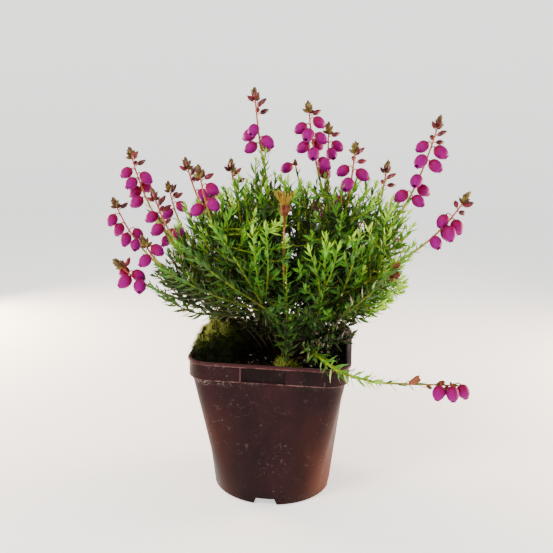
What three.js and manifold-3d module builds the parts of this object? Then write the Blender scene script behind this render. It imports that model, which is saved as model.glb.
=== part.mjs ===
// A potted Irish heath: a bushy dwarf shrub with narrow leaves, and nodding urn-shaped magenta
// flowers on upright sprays, growing in compost in a square-topped nursery pot with a round base.
// Millimetres, +Z up. The origin is on the ground, under the middle of the pot's standing ring.

import * as THREE from "three";
import { mergeVertices } from "three/addons/utils/BufferGeometryUtils.js";
import Module from "manifold-3d";

const wasm = await Module();
wasm.setup();

const V = (x, y, z) => new THREE.Vector3(x, y, z);
const radians = THREE.MathUtils.degToRad;
const up = V(0, 0, 1);
const clearance = 0.3; // between two pieces that touch
const goldenAngle = 137.5; // from each leaf round the stem to the next

// Driving dimensions

const pot = {
  topWidth: 105, // over the lip
  cornerRadius: 14,
  height: 100,
  baseRadius: 40.2,
  wall: 1.5,
  lipReach: 1.2, // the lip stands out this far from the band
  lipHeight: 2,
  bandHeight: 10.5, // the collar under the lip
  bandReach: 1.8, // the band stands out this far from the body
  floorUnder: 5,
  floorTop: 6.6,
  ringWidth: 2.2, // the standing ring under the floor
  notchWidth: 15.4,
  notchTopWidth: 12,
  notchHeight: 4.7,
  drainRadius: 3.5,
  drainReach: 27,
};
const labelSlot = { width: 28, height: 8.6, x: -1.5, z: 93.1, depth: 0.8, ridge: 1.2, proud: 0.5 };
const compost = { level: 91.5, edgeLevel: 92.5, hole: 11 };
const mossCushions = [
  { name: "moss_cushion", x: -33, y: 1, halfWidth: 13.8, halfLength: 40, rise: 28, rows: 4, around: 12,
    tuft: 2.6, steep: 0.3 }, // steep towards the pot's wall, and gentle towards the stems
  { name: "moss_tuft", x: 14, y: -42.5, halfWidth: 6, halfLength: 4, rise: 11, rows: 3, around: 8,
    tuft: 1.8, steep: 0 },
];
const crown = { x: 3, y: 4, innerRadius: 4, outerRadius: 16 }; // the stems rise round this place
const bush = {
  x: 4, y: 0, z: 148, halfWidth: 83, halfDepth: 76, rise: 65, drop: 32, lowest: -0.75,
  shoulder: 2, // fuller at its upper right than a round bush by this much
};
const twigs = { tips: 40, length: 29, radius: 0.85, leafPairs: 4, lowestStart: 0.3, nearestStem: 10 };
const stem = { rootRadius: 1.3, topRadius: 0.9, bareStep: 20, leafStep: 3.6, leafPairs: 4, bareEnd: 2.5 };
const leaf = { length: 9.6, halfWidth: 1.3, thickness: 0.85 };
const spray = {
  baseRadius: 0.9, tipRadius: 0.6, bareStep: 12, budStep: 3.6, head: 8, headRadius: 1.9, budPairs: 3,
};
const bud = { stalk: 2.2, length: 6.6, radius: 1.3 };
const flower = { stalk: 3.3, lift: 1.1, out: 0.6, down: 0.8, length: 9.8, radius: 3.8 };

// Where each flower spray starts (base) and ends (tip), and its flowers: how far under the tip each
// one's stalk leaves, and to which side, in degrees: 0 is right, 90 back, 180 left and 270 front.
const sprays = [
  { name: "left_tall", base: [-78, -8, 179], tip: [-103, 5, 230],
    flowers: [[17, 190], [20, 350], [24, 235], [31, 170], [38, 200], [27, 30]] },
  { name: "left_inner", base: [-62, -26, 170], tip: [-81, -18, 205],
    flowers: [[19, 185], [28, 200], [31, 340]] },
  { name: "left_far", base: [-88, -2, 157], tip: [-118, 13, 195],
    flowers: [[15, 200], [23, 165], [30, 250], [27, 20], [37, 200]] },
  { name: "left_low", base: [-76, -32, 141], tip: [-103, -32, 160],
    flowers: [[12, 120], [14, 20], [19, 215], [23, 285]] },
  { name: "left_mid", base: [-68, -42, 158], tip: [-80, -46, 178],
    flowers: [[9, 20], [16, 230]] },
  { name: "left_back", base: [-71, 18, 177], tip: [-81, 22, 207],
    flowers: [[17, 0], [22, 230]] },
  { name: "upper_left", base: [-44, -18, 187], tip: [-61, -10, 225],
    flowers: [[24, 340], [32, 60]] },
  { name: "upper_left_front", base: [-36, -40, 185], tip: [-46, -38, 222],
    flowers: [[14, 10], [23, 0], [27, 200]] },
  { name: "young_left", base: [-31, 8, 204], tip: [-35, 12, 224], flowers: [] },
  { name: "top_left", base: [-9, -8, 219], tip: [-17, -5, 270],
    flowers: [[26, 250], [29, 180], [33, 330], [36, 20], [37, 190]] },
  { name: "top_right", base: [28, -2, 208], tip: [17, 0, 263],
    flowers: [[13, 20], [17, 190], [21, 240], [23, 330], [27, 0], [29, 185], [33, 270], [39, 300], [45, 350]] },
  { name: "top_back", base: [31, 20, 216], tip: [30, 22, 250],
    flowers: [[15, 0], [20, 340]] },
  { name: "right_inner", base: [45, -16, 196], tip: [49, -6, 238],
    flowers: [[18, 180], [20, 350], [26, 250], [38, 200]] },
  { name: "top_small", base: [11, 28, 209], tip: [7, 32, 224], flowers: [[5, 190]] },
  { name: "right_tall", base: [80, -10, 195], tip: [101, -4, 255],
    flowers: [[19, 190], [22, 350], [28, 230], [31, 340], [41, 250], [48, 20], [52, 180], [55, 330]] },
  { name: "right_low", base: [86, -36, 172], tip: [118, -32, 210],
    flowers: [[18, 190], [22, 20], [26, 220], [28, 330], [36, 290]] },
  { name: "young_right", base: [67, 24, 195], tip: [71, 30, 225], flowers: [] },
  { name: "trailing", base: [68, -65, 98.2], tip: [115.5, -60.5, 98], over: [[24, -34, 107], [45.7, -58, 101.4]],
    leafPairs: 10, flowers: [[3, 350], [5, 280], [9, 240]] },
  { name: "back_left_low", base: [-74, 30, 158], tip: [-96, 46, 180],
    flowers: [[12, 160], [17, 60], [23, 250]] },
  { name: "back_left", base: [-46, 48, 172], tip: [-62, 63, 200],
    flowers: [[13, 100], [18, 200], [23, 20]] },
  { name: "back_middle_left", base: [-16, 58, 176], tip: [-24, 71, 203],
    flowers: [[11, 90], [17, 190], [22, 330]] },
  { name: "back_middle_right", base: [22, 58, 178], tip: [30, 71, 205],
    flowers: [[12, 60], [17, 150], [23, 300]] },
  { name: "back_right", base: [47, 51, 166], tip: [61, 67, 188],
    flowers: [[12, 30], [17, 130], [23, 250]] },
  { name: "back_right_low", base: [64, 34, 156], tip: [82, 54, 176],
    flowers: [[13, 340], [18, 90], [23, 200]] },
];

// A stem that stood through the winter, and the dry head that last year's flowers left on it
const witheredStem = { name: "withered", base: [10, -62, 188] };
const witheredHead = { neck: 6, cup: 7, cupRadius: 2.6, stalks: 8, stalkLength: 12, stalkRadius: 0.55 };

// Short leafy stems low at the front, which carry no flowers
const lowStems = [
  { name: "low_left", base: [-8, -38, 128] },
  { name: "low_middle", base: [17, -48, 132] },
  { name: "low_right", base: [40, -44, 124] },
];

const colours = {
  pot: new THREE.MeshStandardMaterial({ name: "brown plastic", color: 0x4a2c2a, roughness: 0.42 }),
  compost: new THREE.MeshStandardMaterial({ name: "compost", color: 0x1c1512, roughness: 0.95 }),
  moss: new THREE.MeshStandardMaterial({ name: "moss", color: 0x3a4a1c, roughness: 0.95 }),
  leaf: new THREE.MeshStandardMaterial({ name: "leaf", color: 0x3f6b24, roughness: 0.6 }),
  flower: new THREE.MeshStandardMaterial({ name: "flower", color: 0xb3128c, roughness: 0.5 }),
  withered: new THREE.MeshStandardMaterial({ name: "withered", color: 0x8f6a45, roughness: 0.85 }),
};

// Random numbers from 0 to 1, drawn in the same order on every run
function dice(seed) {
  let state = seed;
  return () => {
    state = (state * 16807) % 2147483647;
    return state / 2147483647;
  };
}

// Solids

function solidFrom(points, triangles) {
  const numbers = new Float32Array(points.length * 3);
  points.forEach((p, i) => p.toArray(numbers, i * 3));
  const corners = new Uint32Array(triangles.flat());
  return new wasm.Manifold(new wasm.Mesh({ numProp: 3, vertProperties: numbers, triVerts: corners }));
}

function solidFromGeometry(geometry) {
  geometry.deleteAttribute("normal");
  geometry.deleteAttribute("uv");
  const merged = mergeVertices(geometry, 1e-4);
  const numbers = new Float32Array(merged.attributes.position.array);
  const corners = new Uint32Array(merged.index.array);
  return new wasm.Manifold(new wasm.Mesh({ numProp: 3, vertProperties: numbers, triVerts: corners }));
}

function geometryFrom(solid) {
  const { numVert, numProp, vertProperties, triVerts } = solid.getMesh();
  const numbers = new Float32Array(numVert * 3);
  for (let i = 0; i < numVert; i++) {
    numbers.set(vertProperties.subarray(i * numProp, i * numProp + 3), i * 3);
  }
  const geometry = new THREE.BufferGeometry();
  geometry.setAttribute("position", new THREE.BufferAttribute(numbers, 3));
  geometry.setIndex(new THREE.BufferAttribute(new Uint32Array(triVerts), 1));
  geometry.computeVertexNormals();
  return geometry;
}

// One body out of several solids: a scrap that hangs loose beside it is dropped
function fused(solids) {
  const bodies = wasm.Manifold.union(solids).decompose();
  return bodies.reduce((a, b) => (b.volume() > a.volume() ? b : a));
}

// A closed skin over rings of equal size, capped at each end by a fan from a middle point. Its bent
// quads are split the same way whether the rings climb or sink, so walls keep their thickness.
function skin(rings, firstMiddle, lastMiddle) {
  const around = rings[0].length;
  const points = [...rings.flat(), firstMiddle, lastMiddle];
  const triangles = [];
  const last = (rings.length - 1) * around;
  for (let i = 0; i < around; i++) {
    const j = (i + 1) % around;
    for (let start = 0; start < last; start += around) {
      const [a, b, c, d] = [start + i, start + j, start + around + j, start + around + i];
      if (points[a].z > points[d].z) triangles.push([a, b, d], [b, c, d]);
      else triangles.push([a, b, c], [a, c, d]);
    }
    triangles.push([j, i, points.length - 2], [last + i, last + j, points.length - 1]);
  }
  return { points, triangles };
}

// The pot

const bodyTop = pot.height - pot.lipHeight - pot.bandHeight;
const bandHalf = pot.topWidth / 2 - pot.lipReach;
const bodyHalf = bandHalf - pot.bandReach;
const quarterTurns = [0, 90, 180, 270].map(radians);
const cornerAngles = [0, 18, 36.3, 42.1, 47.9, 53.7, 72].map(radians);
const outlineAngles = quarterTurns.flatMap((quarter) => cornerAngles.map((a) => quarter + a));

// How far a rounded square's edge is from its middle, in a direction
function squareReach(angle, half, corner) {
  const quarter = Math.PI / 2;
  const folded = ((angle % quarter) + quarter) % quarter;
  const [long, short] = [Math.cos(folded), Math.sin(folded)].sort((a, b) => b - a);
  const straight = half - corner;
  if ((half / long) * short <= straight) return half / long;
  const sum = long + short;
  return straight * sum + Math.sqrt(corner ** 2 - straight ** 2 * (2 - sum ** 2));
}

function ringAt(z, reachAt) {
  return outlineAngles.map((a) => V(Math.cos(a) * reachAt(a), Math.sin(a) * reachAt(a), z));
}

function roundRing(radius, z) {
  return ringAt(z, () => radius);
}

function squareRing(half, corner, z) {
  return ringAt(z, (a) => squareReach(a, half, corner));
}

// The body's outline at a height: round at the base, it grows into the rounded square on top
function bodyRing(z, inset) {
  return ringAt(z, (a) => {
    const square = squareReach(a, bodyHalf - inset, pot.cornerRadius - inset);
    return THREE.MathUtils.lerp(pot.baseRadius - inset, square, z / bodyTop);
  });
}

// How far the inner wall is from the pot's axis, from its shoulder up to the rim
const shoulder = bodyTop - 1;
function insideReach(angle, z) {
  const atShoulder = squareReach(angle, bodyHalf - pot.wall, pot.cornerRadius - pot.wall);
  const atRim = squareReach(angle, bandHalf - pot.wall, pot.cornerRadius - pot.wall);
  const narrowed = ((pot.baseRadius - pot.wall - atShoulder) * (bodyTop - shoulder)) / bodyTop;
  return THREE.MathUtils.mapLinear(z, shoulder, pot.height, atShoulder + narrowed, atRim);
}

function potShell() {
  const { wall, height, topWidth, cornerRadius: corner } = pot;
  const lipFoot = height - pot.lipHeight;
  const ringInside = pot.baseRadius - pot.ringWidth;
  const rings = [
    roundRing(ringInside - 0.6, pot.floorUnder),
    roundRing(ringInside, 0),
    roundRing(pot.baseRadius - 0.5, 0),
    bodyRing(0.8, 0),
    bodyRing(bodyTop, 0),
    squareRing(bandHalf, corner + 1, bodyTop + 0.9),
    squareRing(bandHalf, corner + 1, lipFoot),
    squareRing(topWidth / 2, corner + 2, lipFoot + 0.4),
    squareRing(topWidth / 2 - 0.4, corner + 2, height),
    ringAt(height, (a) => insideReach(a, height)),
    ringAt(shoulder, (a) => insideReach(a, shoulder)),
    bodyRing(pot.floorTop, wall),
  ];
  const { points, triangles } = skin(rings, V(0, 0, pot.floorUnder), V(0, 0, pot.floorTop));
  return solidFrom(points, triangles);
}

function box(width, depth, height, x, y, z) {
  return solidFromGeometry(new THREE.BoxGeometry(width, depth, height).translate(x, y, z));
}

// The notch in the front of the standing ring, narrower at its top, turned to one of the four sides
function notch(quarter) {
  const below = 1;
  const inwards = 6;
  const outwards = 2;
  const shape = new THREE.Shape([
    new THREE.Vector2(-pot.notchWidth / 2, -below),
    new THREE.Vector2(pot.notchWidth / 2, -below),
    new THREE.Vector2(pot.notchTopWidth / 2, pot.notchHeight),
    new THREE.Vector2(-pot.notchTopWidth / 2, pot.notchHeight),
  ]);
  const geometry = new THREE.ExtrudeGeometry(shape, { depth: inwards + outwards, bevelEnabled: false });
  geometry.rotateX(Math.PI / 2).translate(0, inwards - pot.baseRadius, 0);
  return solidFromGeometry(geometry.rotateZ(quarter));
}

function drainHole(quarter) {
  const hole = new THREE.CylinderGeometry(pot.drainRadius, pot.drainRadius, 6, 6).rotateX(Math.PI / 2);
  return solidFromGeometry(hole.translate(0, -pot.drainReach, pot.floorTop - 1).rotateZ(quarter));
}

function makePot() {
  const { width, height, x, z, depth, ridge, proud } = labelSlot;
  const ridges = [-1, 1].map((side) =>
    box(ridge, proud * 2, height + 1, x + (side * (width + ridge)) / 2, -bandHalf, z + 0.4));
  const cuts = [box(width, depth * 2, height, x, -bandHalf, z)];
  for (const quarter of quarterTurns) cuts.push(notch(quarter), drainHole(quarter));
  return wasm.Manifold.union([potShell(), ...ridges]).subtract(wasm.Manifold.union(cuts));
}

// The compost

// The height of its crumbly surface, which is level where the stems come up
function compostLevel(x, y) {
  const rough = THREE.MathUtils.smoothstep(Math.hypot(x - crown.x, y - crown.y), 20, 34);
  const bump = 0.8 * Math.sin(x / 5.5 + 1) * Math.cos(y / 4.7) + 0.4 * Math.sin(y / 3.1 + x / 9);
  const out = Math.min(1, Math.max(Math.abs(x), Math.abs(y)) / bodyHalf);
  return THREE.MathUtils.lerp(compost.level, compost.edgeLevel, out) + rough * bump;
}

// The filling of the pot, with its surface lifted by as much as asked
function makeCompost(lift = 0) {
  const surfaceRing = (share) =>
    ringAt(0, (a) => (insideReach(a, compost.level) - clearance) * share)
      .map((p) => V(p.x, p.y, compostLevel(p.x, p.y) + lift));
  const rings = [
    bodyRing(pot.floorTop + clearance, pot.wall + clearance),
    ringAt(shoulder, (a) => insideReach(a, shoulder) - clearance),
    surfaceRing(1),
    surfaceRing(0.74),
  ];
  const { points, triangles } = skin(rings, V(0, 0, pot.floorTop + clearance), V(0, 0, compost.level + lift));
  return solidFrom(points, triangles);
}

// Moss that lies on the compost: a lumpy mound whose upper facets are each drawn up to a tuft, and
// whose underside is cut to the compost's surface
function makeMoss({ x, y, halfWidth, halfLength, rise, rows, around, tuft, steep }) {
  const roll = dice(41);
  const foot = compost.level - 0.8;
  const rings = Array.from({ length: rows }, (_, row) => {
    const lean = ((row / rows) * Math.PI) / 2;
    return Array.from({ length: around }, (_, i) => {
      const a = ((i + row * 0.5) / around) * 2 * Math.PI;
      const reach = Math.cos(lean) ** (1 - steep + steep * Math.cos(a))
        * (1 + 0.07 * Math.sin(3 * a + row) + 0.05 * (roll() - 0.5));
      const slope = 0.72 - 0.28 * Math.cos(a) + 0.1 * Math.sin(a);
      const height = Math.sin(lean) * rise * slope;
      return V(x + Math.cos(a) * reach * halfWidth, y + Math.sin(a) * reach * halfLength, foot + height);
    });
  });
  const { points, triangles } = skin(rings, V(x, y, foot), V(x, y, foot + rise * 0.84));
  const made = [];
  for (const [a, b, c] of triangles) {
    const [p, q, r] = [points[a], points[b], points[c]];
    const normal = q.clone().sub(p).cross(r.clone().sub(p)).normalize();
    if (normal.z < 0.42) {
      made.push([a, b, c]);
      continue;
    }
    const middle = p.clone().add(q).add(r).divideScalar(3);
    const top = points.push(middle.addScaledVector(normal, tuft * (0.5 + roll()))) - 1;
    made.push([a, b, top], [b, c, top], [c, a, top]);
  }
  return solidFrom(points, made).subtract(makeCompost(clearance));
}

// Room between the pieces: every stem, leaf, bud and flower is kept as a thick line, with the node
// that it belongs to (owner) and the single stem or flower that it is part of (part).

const taken = [];

function take(owner, part, line, radius) {
  for (let i = 0; i + 1 < line.length; i++) {
    const [a, b] = [line[i].clone(), line[i + 1].clone()];
    taken.push({ owner, part, a, b, radius, length: a.distanceTo(b) });
  }
}

// The least distance between two straight lines, from a to b and from c to d
function lineGap(a, b, c, d) {
  const [u, v, w] = [b.clone().sub(a), d.clone().sub(c), a.clone().sub(c)];
  const [uu, uv, vv, uw, vw] = [u.dot(u), u.dot(v), v.dot(v), u.dot(w), v.dot(w)];
  const clamp = (share) => Math.min(1, Math.max(0, share));
  const spread = uu * vv - uv * uv;
  const near = spread > 1e-9 ? clamp((uv * vw - vv * uw) / spread) : 0;
  const t = clamp((uv * near + vw) / vv);
  const s = clamp((uv * t - uw) / uu);
  return a.clone().addScaledVector(u, s).distanceTo(c.clone().addScaledVector(v, t));
}

// Whether a thick line keeps clear of all that is there. With others of its own node it may touch.
function isClear(owner, line, radius, ignores = () => false) {
  return taken.every((t) => {
    if (ignores(t)) return true;
    const needed = radius + t.radius + (t.owner === owner ? 0 : clearance + 0.1);
    return line.every((b, i) => {
      if (i === 0) return true;
      const a = line[i - 1];
      if (t.a.distanceTo(a) > needed + t.length + a.distanceTo(b)) return true;
      return lineGap(a, b, t.a, t.b) > needed;
    });
  });
}

// Grown stems

// A three-sided stem along a line of points. From firstTurned on, each step turns it a little, so that
// what is raised from its facets in turn stands round it in a spiral, the golden angle apart.
class GrownStem {
  constructor(line, radii, { tip = null, firstTurned = line.length, firstWay, lastWay } = {}) {
    this.line = line;
    this.firstTurned = firstTurned;
    this.points = [];
    this.triangles = [];
    this.tangents = line.map((_, i) =>
      line[Math.min(i + 1, line.length - 1)].clone().sub(line[Math.max(i - 1, 0)]).normalize());
    if (firstWay) this.tangents[0] = firstWay;
    if (lastWay) this.tangents[line.length - 1] = lastWay;
    const spin = radians(2 * goldenAngle - 240);
    let across = V(1, 0.3, 0).cross(this.tangents[0]).normalize();
    line.forEach((p, i) => {
      const along = this.tangents[i];
      across = across.clone().addScaledVector(along, -across.dot(along)).normalize();
      for (const third of [0, 1, 2]) {
        const a = spin * Math.max(0, i - firstTurned) + (third * 2 * Math.PI) / 3;
        this.points.push(p.clone().addScaledVector(across.clone().applyAxisAngle(along, a), radii[i]));
      }
    });
    for (let i = 0; i + 1 < line.length; i++) {
      for (const k of [0, 1, 2]) {
        const [a, b] = [i * 3 + k, i * 3 + ((k + 1) % 3)];
        this.triangles.push([a, b, b + 3], [a, b + 3, a + 3]);
      }
    }
    this.triangles.push([0, 2, 1]);
    const last = (line.length - 1) * 3;
    if (tip) {
      this.points.push(tip);
      for (const k of [0, 1, 2]) this.triangles.push([last + k, last + ((k + 1) % 3), last + 3]);
    } else this.triangles.push([last, last + 1, last + 2]);
  }

  // The facet that the spiral comes to next, its middle, and the ways it looks: along and outwards
  facet(number) {
    const step = this.firstTurned + Math.floor(number / 2);
    const index = step * 6 + (number % 3) * 2 + (number % 2);
    const middle = V(0, 0, 0);
    for (const i of this.triangles[index]) middle.addScaledVector(this.points[i], 1 / 3);
    const along = this.tangents[step];
    const out = middle.clone().sub(this.line[step]);
    out.addScaledVector(along, -out.dot(along)).normalize();
    return { index, middle, along, out };
  }

  // Draws a facet out through rings of three points to a tip
  raise(index, rings, tip) {
    let loop = this.triangles[index];
    this.triangles[index] = null;
    for (const ring of rings) {
      const start = this.points.length;
      this.points.push(...this.fitted(loop, ring));
      const next = [start, start + 1, start + 2];
      for (const i of [0, 1, 2]) {
        const j = (i + 1) % 3;
        this.triangles.push([loop[i], loop[j], next[j]], [loop[i], next[j], next[i]]);
      }
      loop = next;
    }
    const top = this.points.push(tip) - 1;
    for (const i of [0, 1, 2]) this.triangles.push([loop[i], loop[(i + 1) % 3], top]);
  }

  // A ring's points in the order that fits the loop below it with the least twist
  fitted(loop, ring) {
    const below = loop.map((i) => this.points[i]);
    const way = V(0, 0, 0);
    for (const i of [0, 1, 2]) way.add(ring[i]).sub(below[i]);
    const normal = ring[1].clone().sub(ring[0]).cross(ring[2].clone().sub(ring[0]));
    const ordered = normal.dot(way) > 0 ? ring : [ring[0], ring[2], ring[1]];
    const turned = [0, 1, 2].map((k) => [0, 1, 2].map((i) => ordered[(i + k) % 3]));
    const misfit = (list) => list.reduce((sum, p, i) => sum + p.distanceToSquared(below[i]), 0);
    return turned.reduce((a, b) => (misfit(b) < misfit(a) ? b : a));
  }

  solid() {
    return solidFrom(this.points, this.triangles.filter(Boolean));
  }
}

// Points along a curve: long bare steps first, then short ones that each bear a pair of leaves or buds
function stepsAlong(curve, { bareStep, shortStep, pairs, rest = 0, start = 0 }) {
  const length = curve.getLength();
  const bare = Math.max(2, length - start - rest - pairs * shortStep);
  const bareSteps = Math.max(1, Math.round(bare / bareStep));
  const places = [];
  for (let i = 0; i < bareSteps; i++) places.push(start + (bare * i) / bareSteps);
  for (let i = 0; i <= pairs; i++) places.push(start + bare + i * shortStep);
  const line = places.map((place) => curve.getPointAt(Math.min(1, place / length)));
  return { line, firstTurned: bareSteps };
}

function tapered(line, from, to) {
  return line.map((_, i) => THREE.MathUtils.lerp(from, to, i / (line.length - 1)));
}

// A ring of three points round a middle, across a way
function threeRound(middle, way, radius) {
  const side = way.clone().cross(Math.abs(way.z) < 0.9 ? up : V(1, 0, 0)).normalize();
  return [0, 120, 240].map((a) => side.clone().applyAxisAngle(way, radians(a)).multiplyScalar(radius).add(middle));
}

// The way that opens from a stem by an angle between its own way and straight out
function opened(along, out, angle) {
  return along.clone().multiplyScalar(Math.cos(radians(angle))).addScaledVector(out, Math.sin(radians(angle)));
}

// Leaves

// Raises a narrow leaf, flat above and keeled below, at the first of the angles that is clear
function raiseLeaf(grown, number, { owner, part, size, angles }) {
  const { index, middle, along, out } = grown.facet(number);
  const across = along.clone().cross(out).normalize();
  for (const angle of angles) {
    const way = opened(along, out, angle);
    const above = opened(along, out, angle - 90);
    const at = (share, lift) =>
      middle.clone().addScaledVector(way, leaf.length * size * share).addScaledVector(above, lift);
    const line = [at(0.32, 0), at(1, -0.5)];
    const radius = leaf.halfWidth * 0.95;
    if (!isClear(owner, line, radius, (t) => t.part === part)) continue;
    const [half, lift] = [leaf.halfWidth * (0.5 + 0.5 * size), leaf.thickness * 0.35];
    const ring = [
      at(0.5, lift).addScaledVector(across, half),
      at(0.5, lift).addScaledVector(across, -half),
      at(0.5, lift - leaf.thickness),
    ];
    grown.raise(index, [ring], at(1, -0.5));
    take(owner, part, line, radius);
    return;
  }
}

// All the leaves of one leafy shoot: the lower ones spread wide, the upper ones stand up
function raiseLeaves({ grown, owner, part, leafPairs, roll }) {
  for (let i = 0; i < leafPairs * 2; i++) {
    const angle = 60 - (22 * i) / (leafPairs * 2) + 8 * (roll() - 0.5);
    const size = 0.86 + 0.28 * roll() - 0.1 * (i / (leafPairs * 2));
    raiseLeaf(grown, i, { owner, part, size, angles: [angle, angle + 14, angle - 14] });
  }
}

// Stems

// Where a stem leaves the compost: round the crown, the further out the more it leans
function rootOf(base, turn, share) {
  const away = V(base.x - crown.x, base.y - crown.y, 0);
  const lean = away.length() / Math.hypot(away.length(), base.z - compost.level);
  away.normalize().applyAxisAngle(up, radians(turn));
  const reach = THREE.MathUtils.lerp(crown.innerRadius, crown.outerRadius, lean ** 2);
  return V(crown.x, crown.y, compost.level + 2).addScaledVector(away, reach * share);
}

function stemCurve({ base, endWay, over }, { turn, spread, reach: share }) {
  const root = rootOf(base, turn, share);
  if (over) return new THREE.CatmullRomCurve3([root, ...over.map((p) => V(...p)), base], false, "centripetal");
  const away = V(base.x - root.x, base.y - root.y, 0).normalize();
  const reach = base.distanceTo(root) * 0.36;
  const startWay = away.multiplyScalar(spread).add(up).normalize();
  const leaving = root.clone().addScaledVector(startWay, reach);
  return new THREE.CubicBezierCurve3(root, leaving, base.clone().addScaledVector(endWay, -reach), base);
}

// The first of several bends of a stem that passes clear of the stems before it
function settleStem(plan) {
  const turns = [0, 12, -12, 24, -24, 36, -36, 50, -50, 65, -65, 80, -80];
  const bends = [1, 1.25, 0.75].flatMap((reach) =>
    [0.5, 0.35, 0.7, 0.2, 0.9].flatMap((spread) => turns.map((turn) => ({ turn, spread, reach }))));
  for (const bend of bends) {
    const curve = stemCurve(plan, bend);
    if (isClear(plan.owner, curve.getPoints(16), stem.rootRadius)) return curve;
  }
  throw new Error("no way clear for " + plan.name);
}

// The spray's own line, which sets out sideways and turns up
function sprayCurve({ base, tip }) {
  const [from, to] = [V(...base), V(...tip)];
  const way = to.clone().sub(from);
  return new THREE.QuadraticBezierCurve3(from, from.clone().add(way.multiply(V(0.62, 0.62, 0.38))), to);
}

const plans = [
  ...sprays.map((s) => {
    const curve = sprayCurve(s);
    return { ...s, spray: curve, base: curve.v0, endWay: curve.getTangent(0) };
  }),
  { ...witheredStem, base: V(...witheredStem.base), endWay: V(0.02, -0.15, 1).normalize() },
  ...lowStems.map((s) => {
    const base = V(...s.base);
    return { ...s, base, low: true, leafPairs: 6, endWay: V(base.x / 60, base.y / 60, 0.9).normalize() };
  }),
];

const rimHalf = pot.topWidth / 2 - 1;
for (const quarter of quarterTurns) {
  const corner = V(rimHalf, rimHalf, pot.height - 2).applyAxisAngle(up, quarter);
  take("pot", "pot", [corner, corner.clone().applyAxisAngle(up, Math.PI / 2)], 2.2);
}
take("moss", "moss", [V(-37, -22, 102), V(-37, 26, 102)], 12);
take("moss", "moss", [V(-26, -18, 98), V(-26, 26, 98)], 8);
take("moss", "moss", [V(14, -45, 97), V(14, -40, 97)], 6);

const shoots = [];
for (const plan of plans) {
  plan.owner = "leafy_stem_" + plan.name;
  plan.curve = settleStem(plan);
  const pairs = plan.leafPairs ?? stem.leafPairs;
  const steps = stepsAlong(plan.curve, {
    bareStep: stem.bareStep, shortStep: stem.leafStep, pairs, rest: stem.bareEnd,
  });
  const root = steps.line[0].clone().setZ(compost.level - compost.hole + clearance);
  const line = [root, ...steps.line, plan.base];
  const radii = tapered(line, stem.rootRadius, stem.topRadius);
  const grown = new GrownStem(line, radii, { firstTurned: steps.firstTurned + 1, lastWay: plan.endWay });
  take(plan.owner, plan.name, line, stem.rootRadius);
  shoots.push({ grown, owner: plan.owner, part: plan.name, leafPairs: pairs, roll: dice(101 + shoots.length) });
  const holeRadius = stem.rootRadius + 0.7;
  const holeEnds = [root.clone().setZ(compost.level - compost.hole), root.clone().setZ(pot.height)];
  plan.hole = new GrownStem(holeEnds, [holeRadius, holeRadius]).solid();
}

// Flower sprays

// The points of an urn-shaped flower that nods to a side on a bent stalk
function flowerShape(root, side, size) {
  const out = V(Math.cos(radians(side)), Math.sin(radians(side)), 0);
  const elbow = root.clone().addScaledVector(out, flower.stalk).addScaledVector(up, flower.lift);
  const nod = out.clone().multiplyScalar(flower.out).addScaledVector(up, -flower.down).normalize();
  const at = (share) => elbow.clone().addScaledVector(nod, flower.length * size * share);
  return { root, out, elbow, nod, at, radius: flower.radius * size };
}

function flowerSolid({ root, out, elbow, nod, at, radius }) {
  const level = out.clone().cross(up).normalize();
  const ring = (middle, r, count, turn) =>
    Array.from({ length: count }, (_, i) =>
      level.clone().applyAxisAngle(nod, radians(turn) + (i / count) * 2 * Math.PI).multiplyScalar(r).add(middle));
  const points = [
    ...ring(root, 0.45, 3, 0),
    ...ring(elbow, 0.6, 3, 0),
    ...ring(at(0.16), radius * 0.8, 6, -30),
    ...ring(at(0.5), radius, 6, -30),
    ...ring(at(0.98), radius * 0.42, 6, -30),
    at(0.86),
  ];
  const triangles = [[0, 2, 1]];
  for (const i of [0, 1, 2]) {
    const j = (i + 1) % 3;
    const [a, b, c] = [6 + 2 * i, 7 + 2 * i, 6 + ((2 * i + 2) % 6)];
    triangles.push([i, j, 3 + j], [i, 3 + j, 3 + i], [3 + i, b, a], [3 + i, 3 + j, b], [3 + j, c, b]);
  }
  for (let i = 0; i < 6; i++) {
    const j = (i + 1) % 6;
    for (const start of [6, 12]) {
      triangles.push([start + i, start + j, start + 6 + j], [start + i, start + 6 + j, start + 6 + i]);
    }
    triangles.push([18 + i, 18 + j, 24]);
  }
  return solidFrom(points, triangles);
}

// The flower turned to the side nearest to the wanted one where it has room
function settleFlower(plan, drop, side, size) {
  const { spray: curve, sprayOwner: owner } = plan;
  const root = curve.getPointAt(1 - drop / curve.getLength());
  for (const crowding of [0.3, 1.4, 9]) {
    for (const turn of [0, 15, -15, 30, -30, 45, -45, 60, -60, 80, -80, 100, -100, 130, -130, 160, 180]) {
      const shape = flowerShape(root, side + turn, size);
      const line = [shape.at(0.36), shape.at(0.72)];
      const { radius } = shape;
      const others = isClear(owner, line, radius, (t) => t.owner === owner);
      const own = isClear(owner, line, radius - crowding, (t) => t.owner !== owner || t.part === plan.name);
      if (others && own) return { shape, line, radius };
    }
  }
  throw new Error("no room for a flower on " + plan.name);
}

function raiseBud(grown, number, { owner, part, size, angles }) {
  const { index, middle, along, out } = grown.facet(number);
  for (const angle of angles) {
    const way = opened(along, out, angle);
    const at = (reach) => middle.clone().addScaledVector(way, reach * size);
    const tip = at(bud.stalk + bud.length);
    const line = [at(bud.stalk + 1), tip];
    if (!isClear(owner, line, bud.radius, (t) => t.part === part)) continue;
    const neck = threeRound(at(bud.stalk), way, 0.45);
    const belly = threeRound(at(bud.stalk + bud.length * 0.42), way, bud.radius * size);
    grown.raise(index, [neck, belly], tip);
    take(owner, part, line, bud.radius);
    return;
  }
}

const sprayPlans = plans.filter((plan) => plan.spray);

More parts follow.
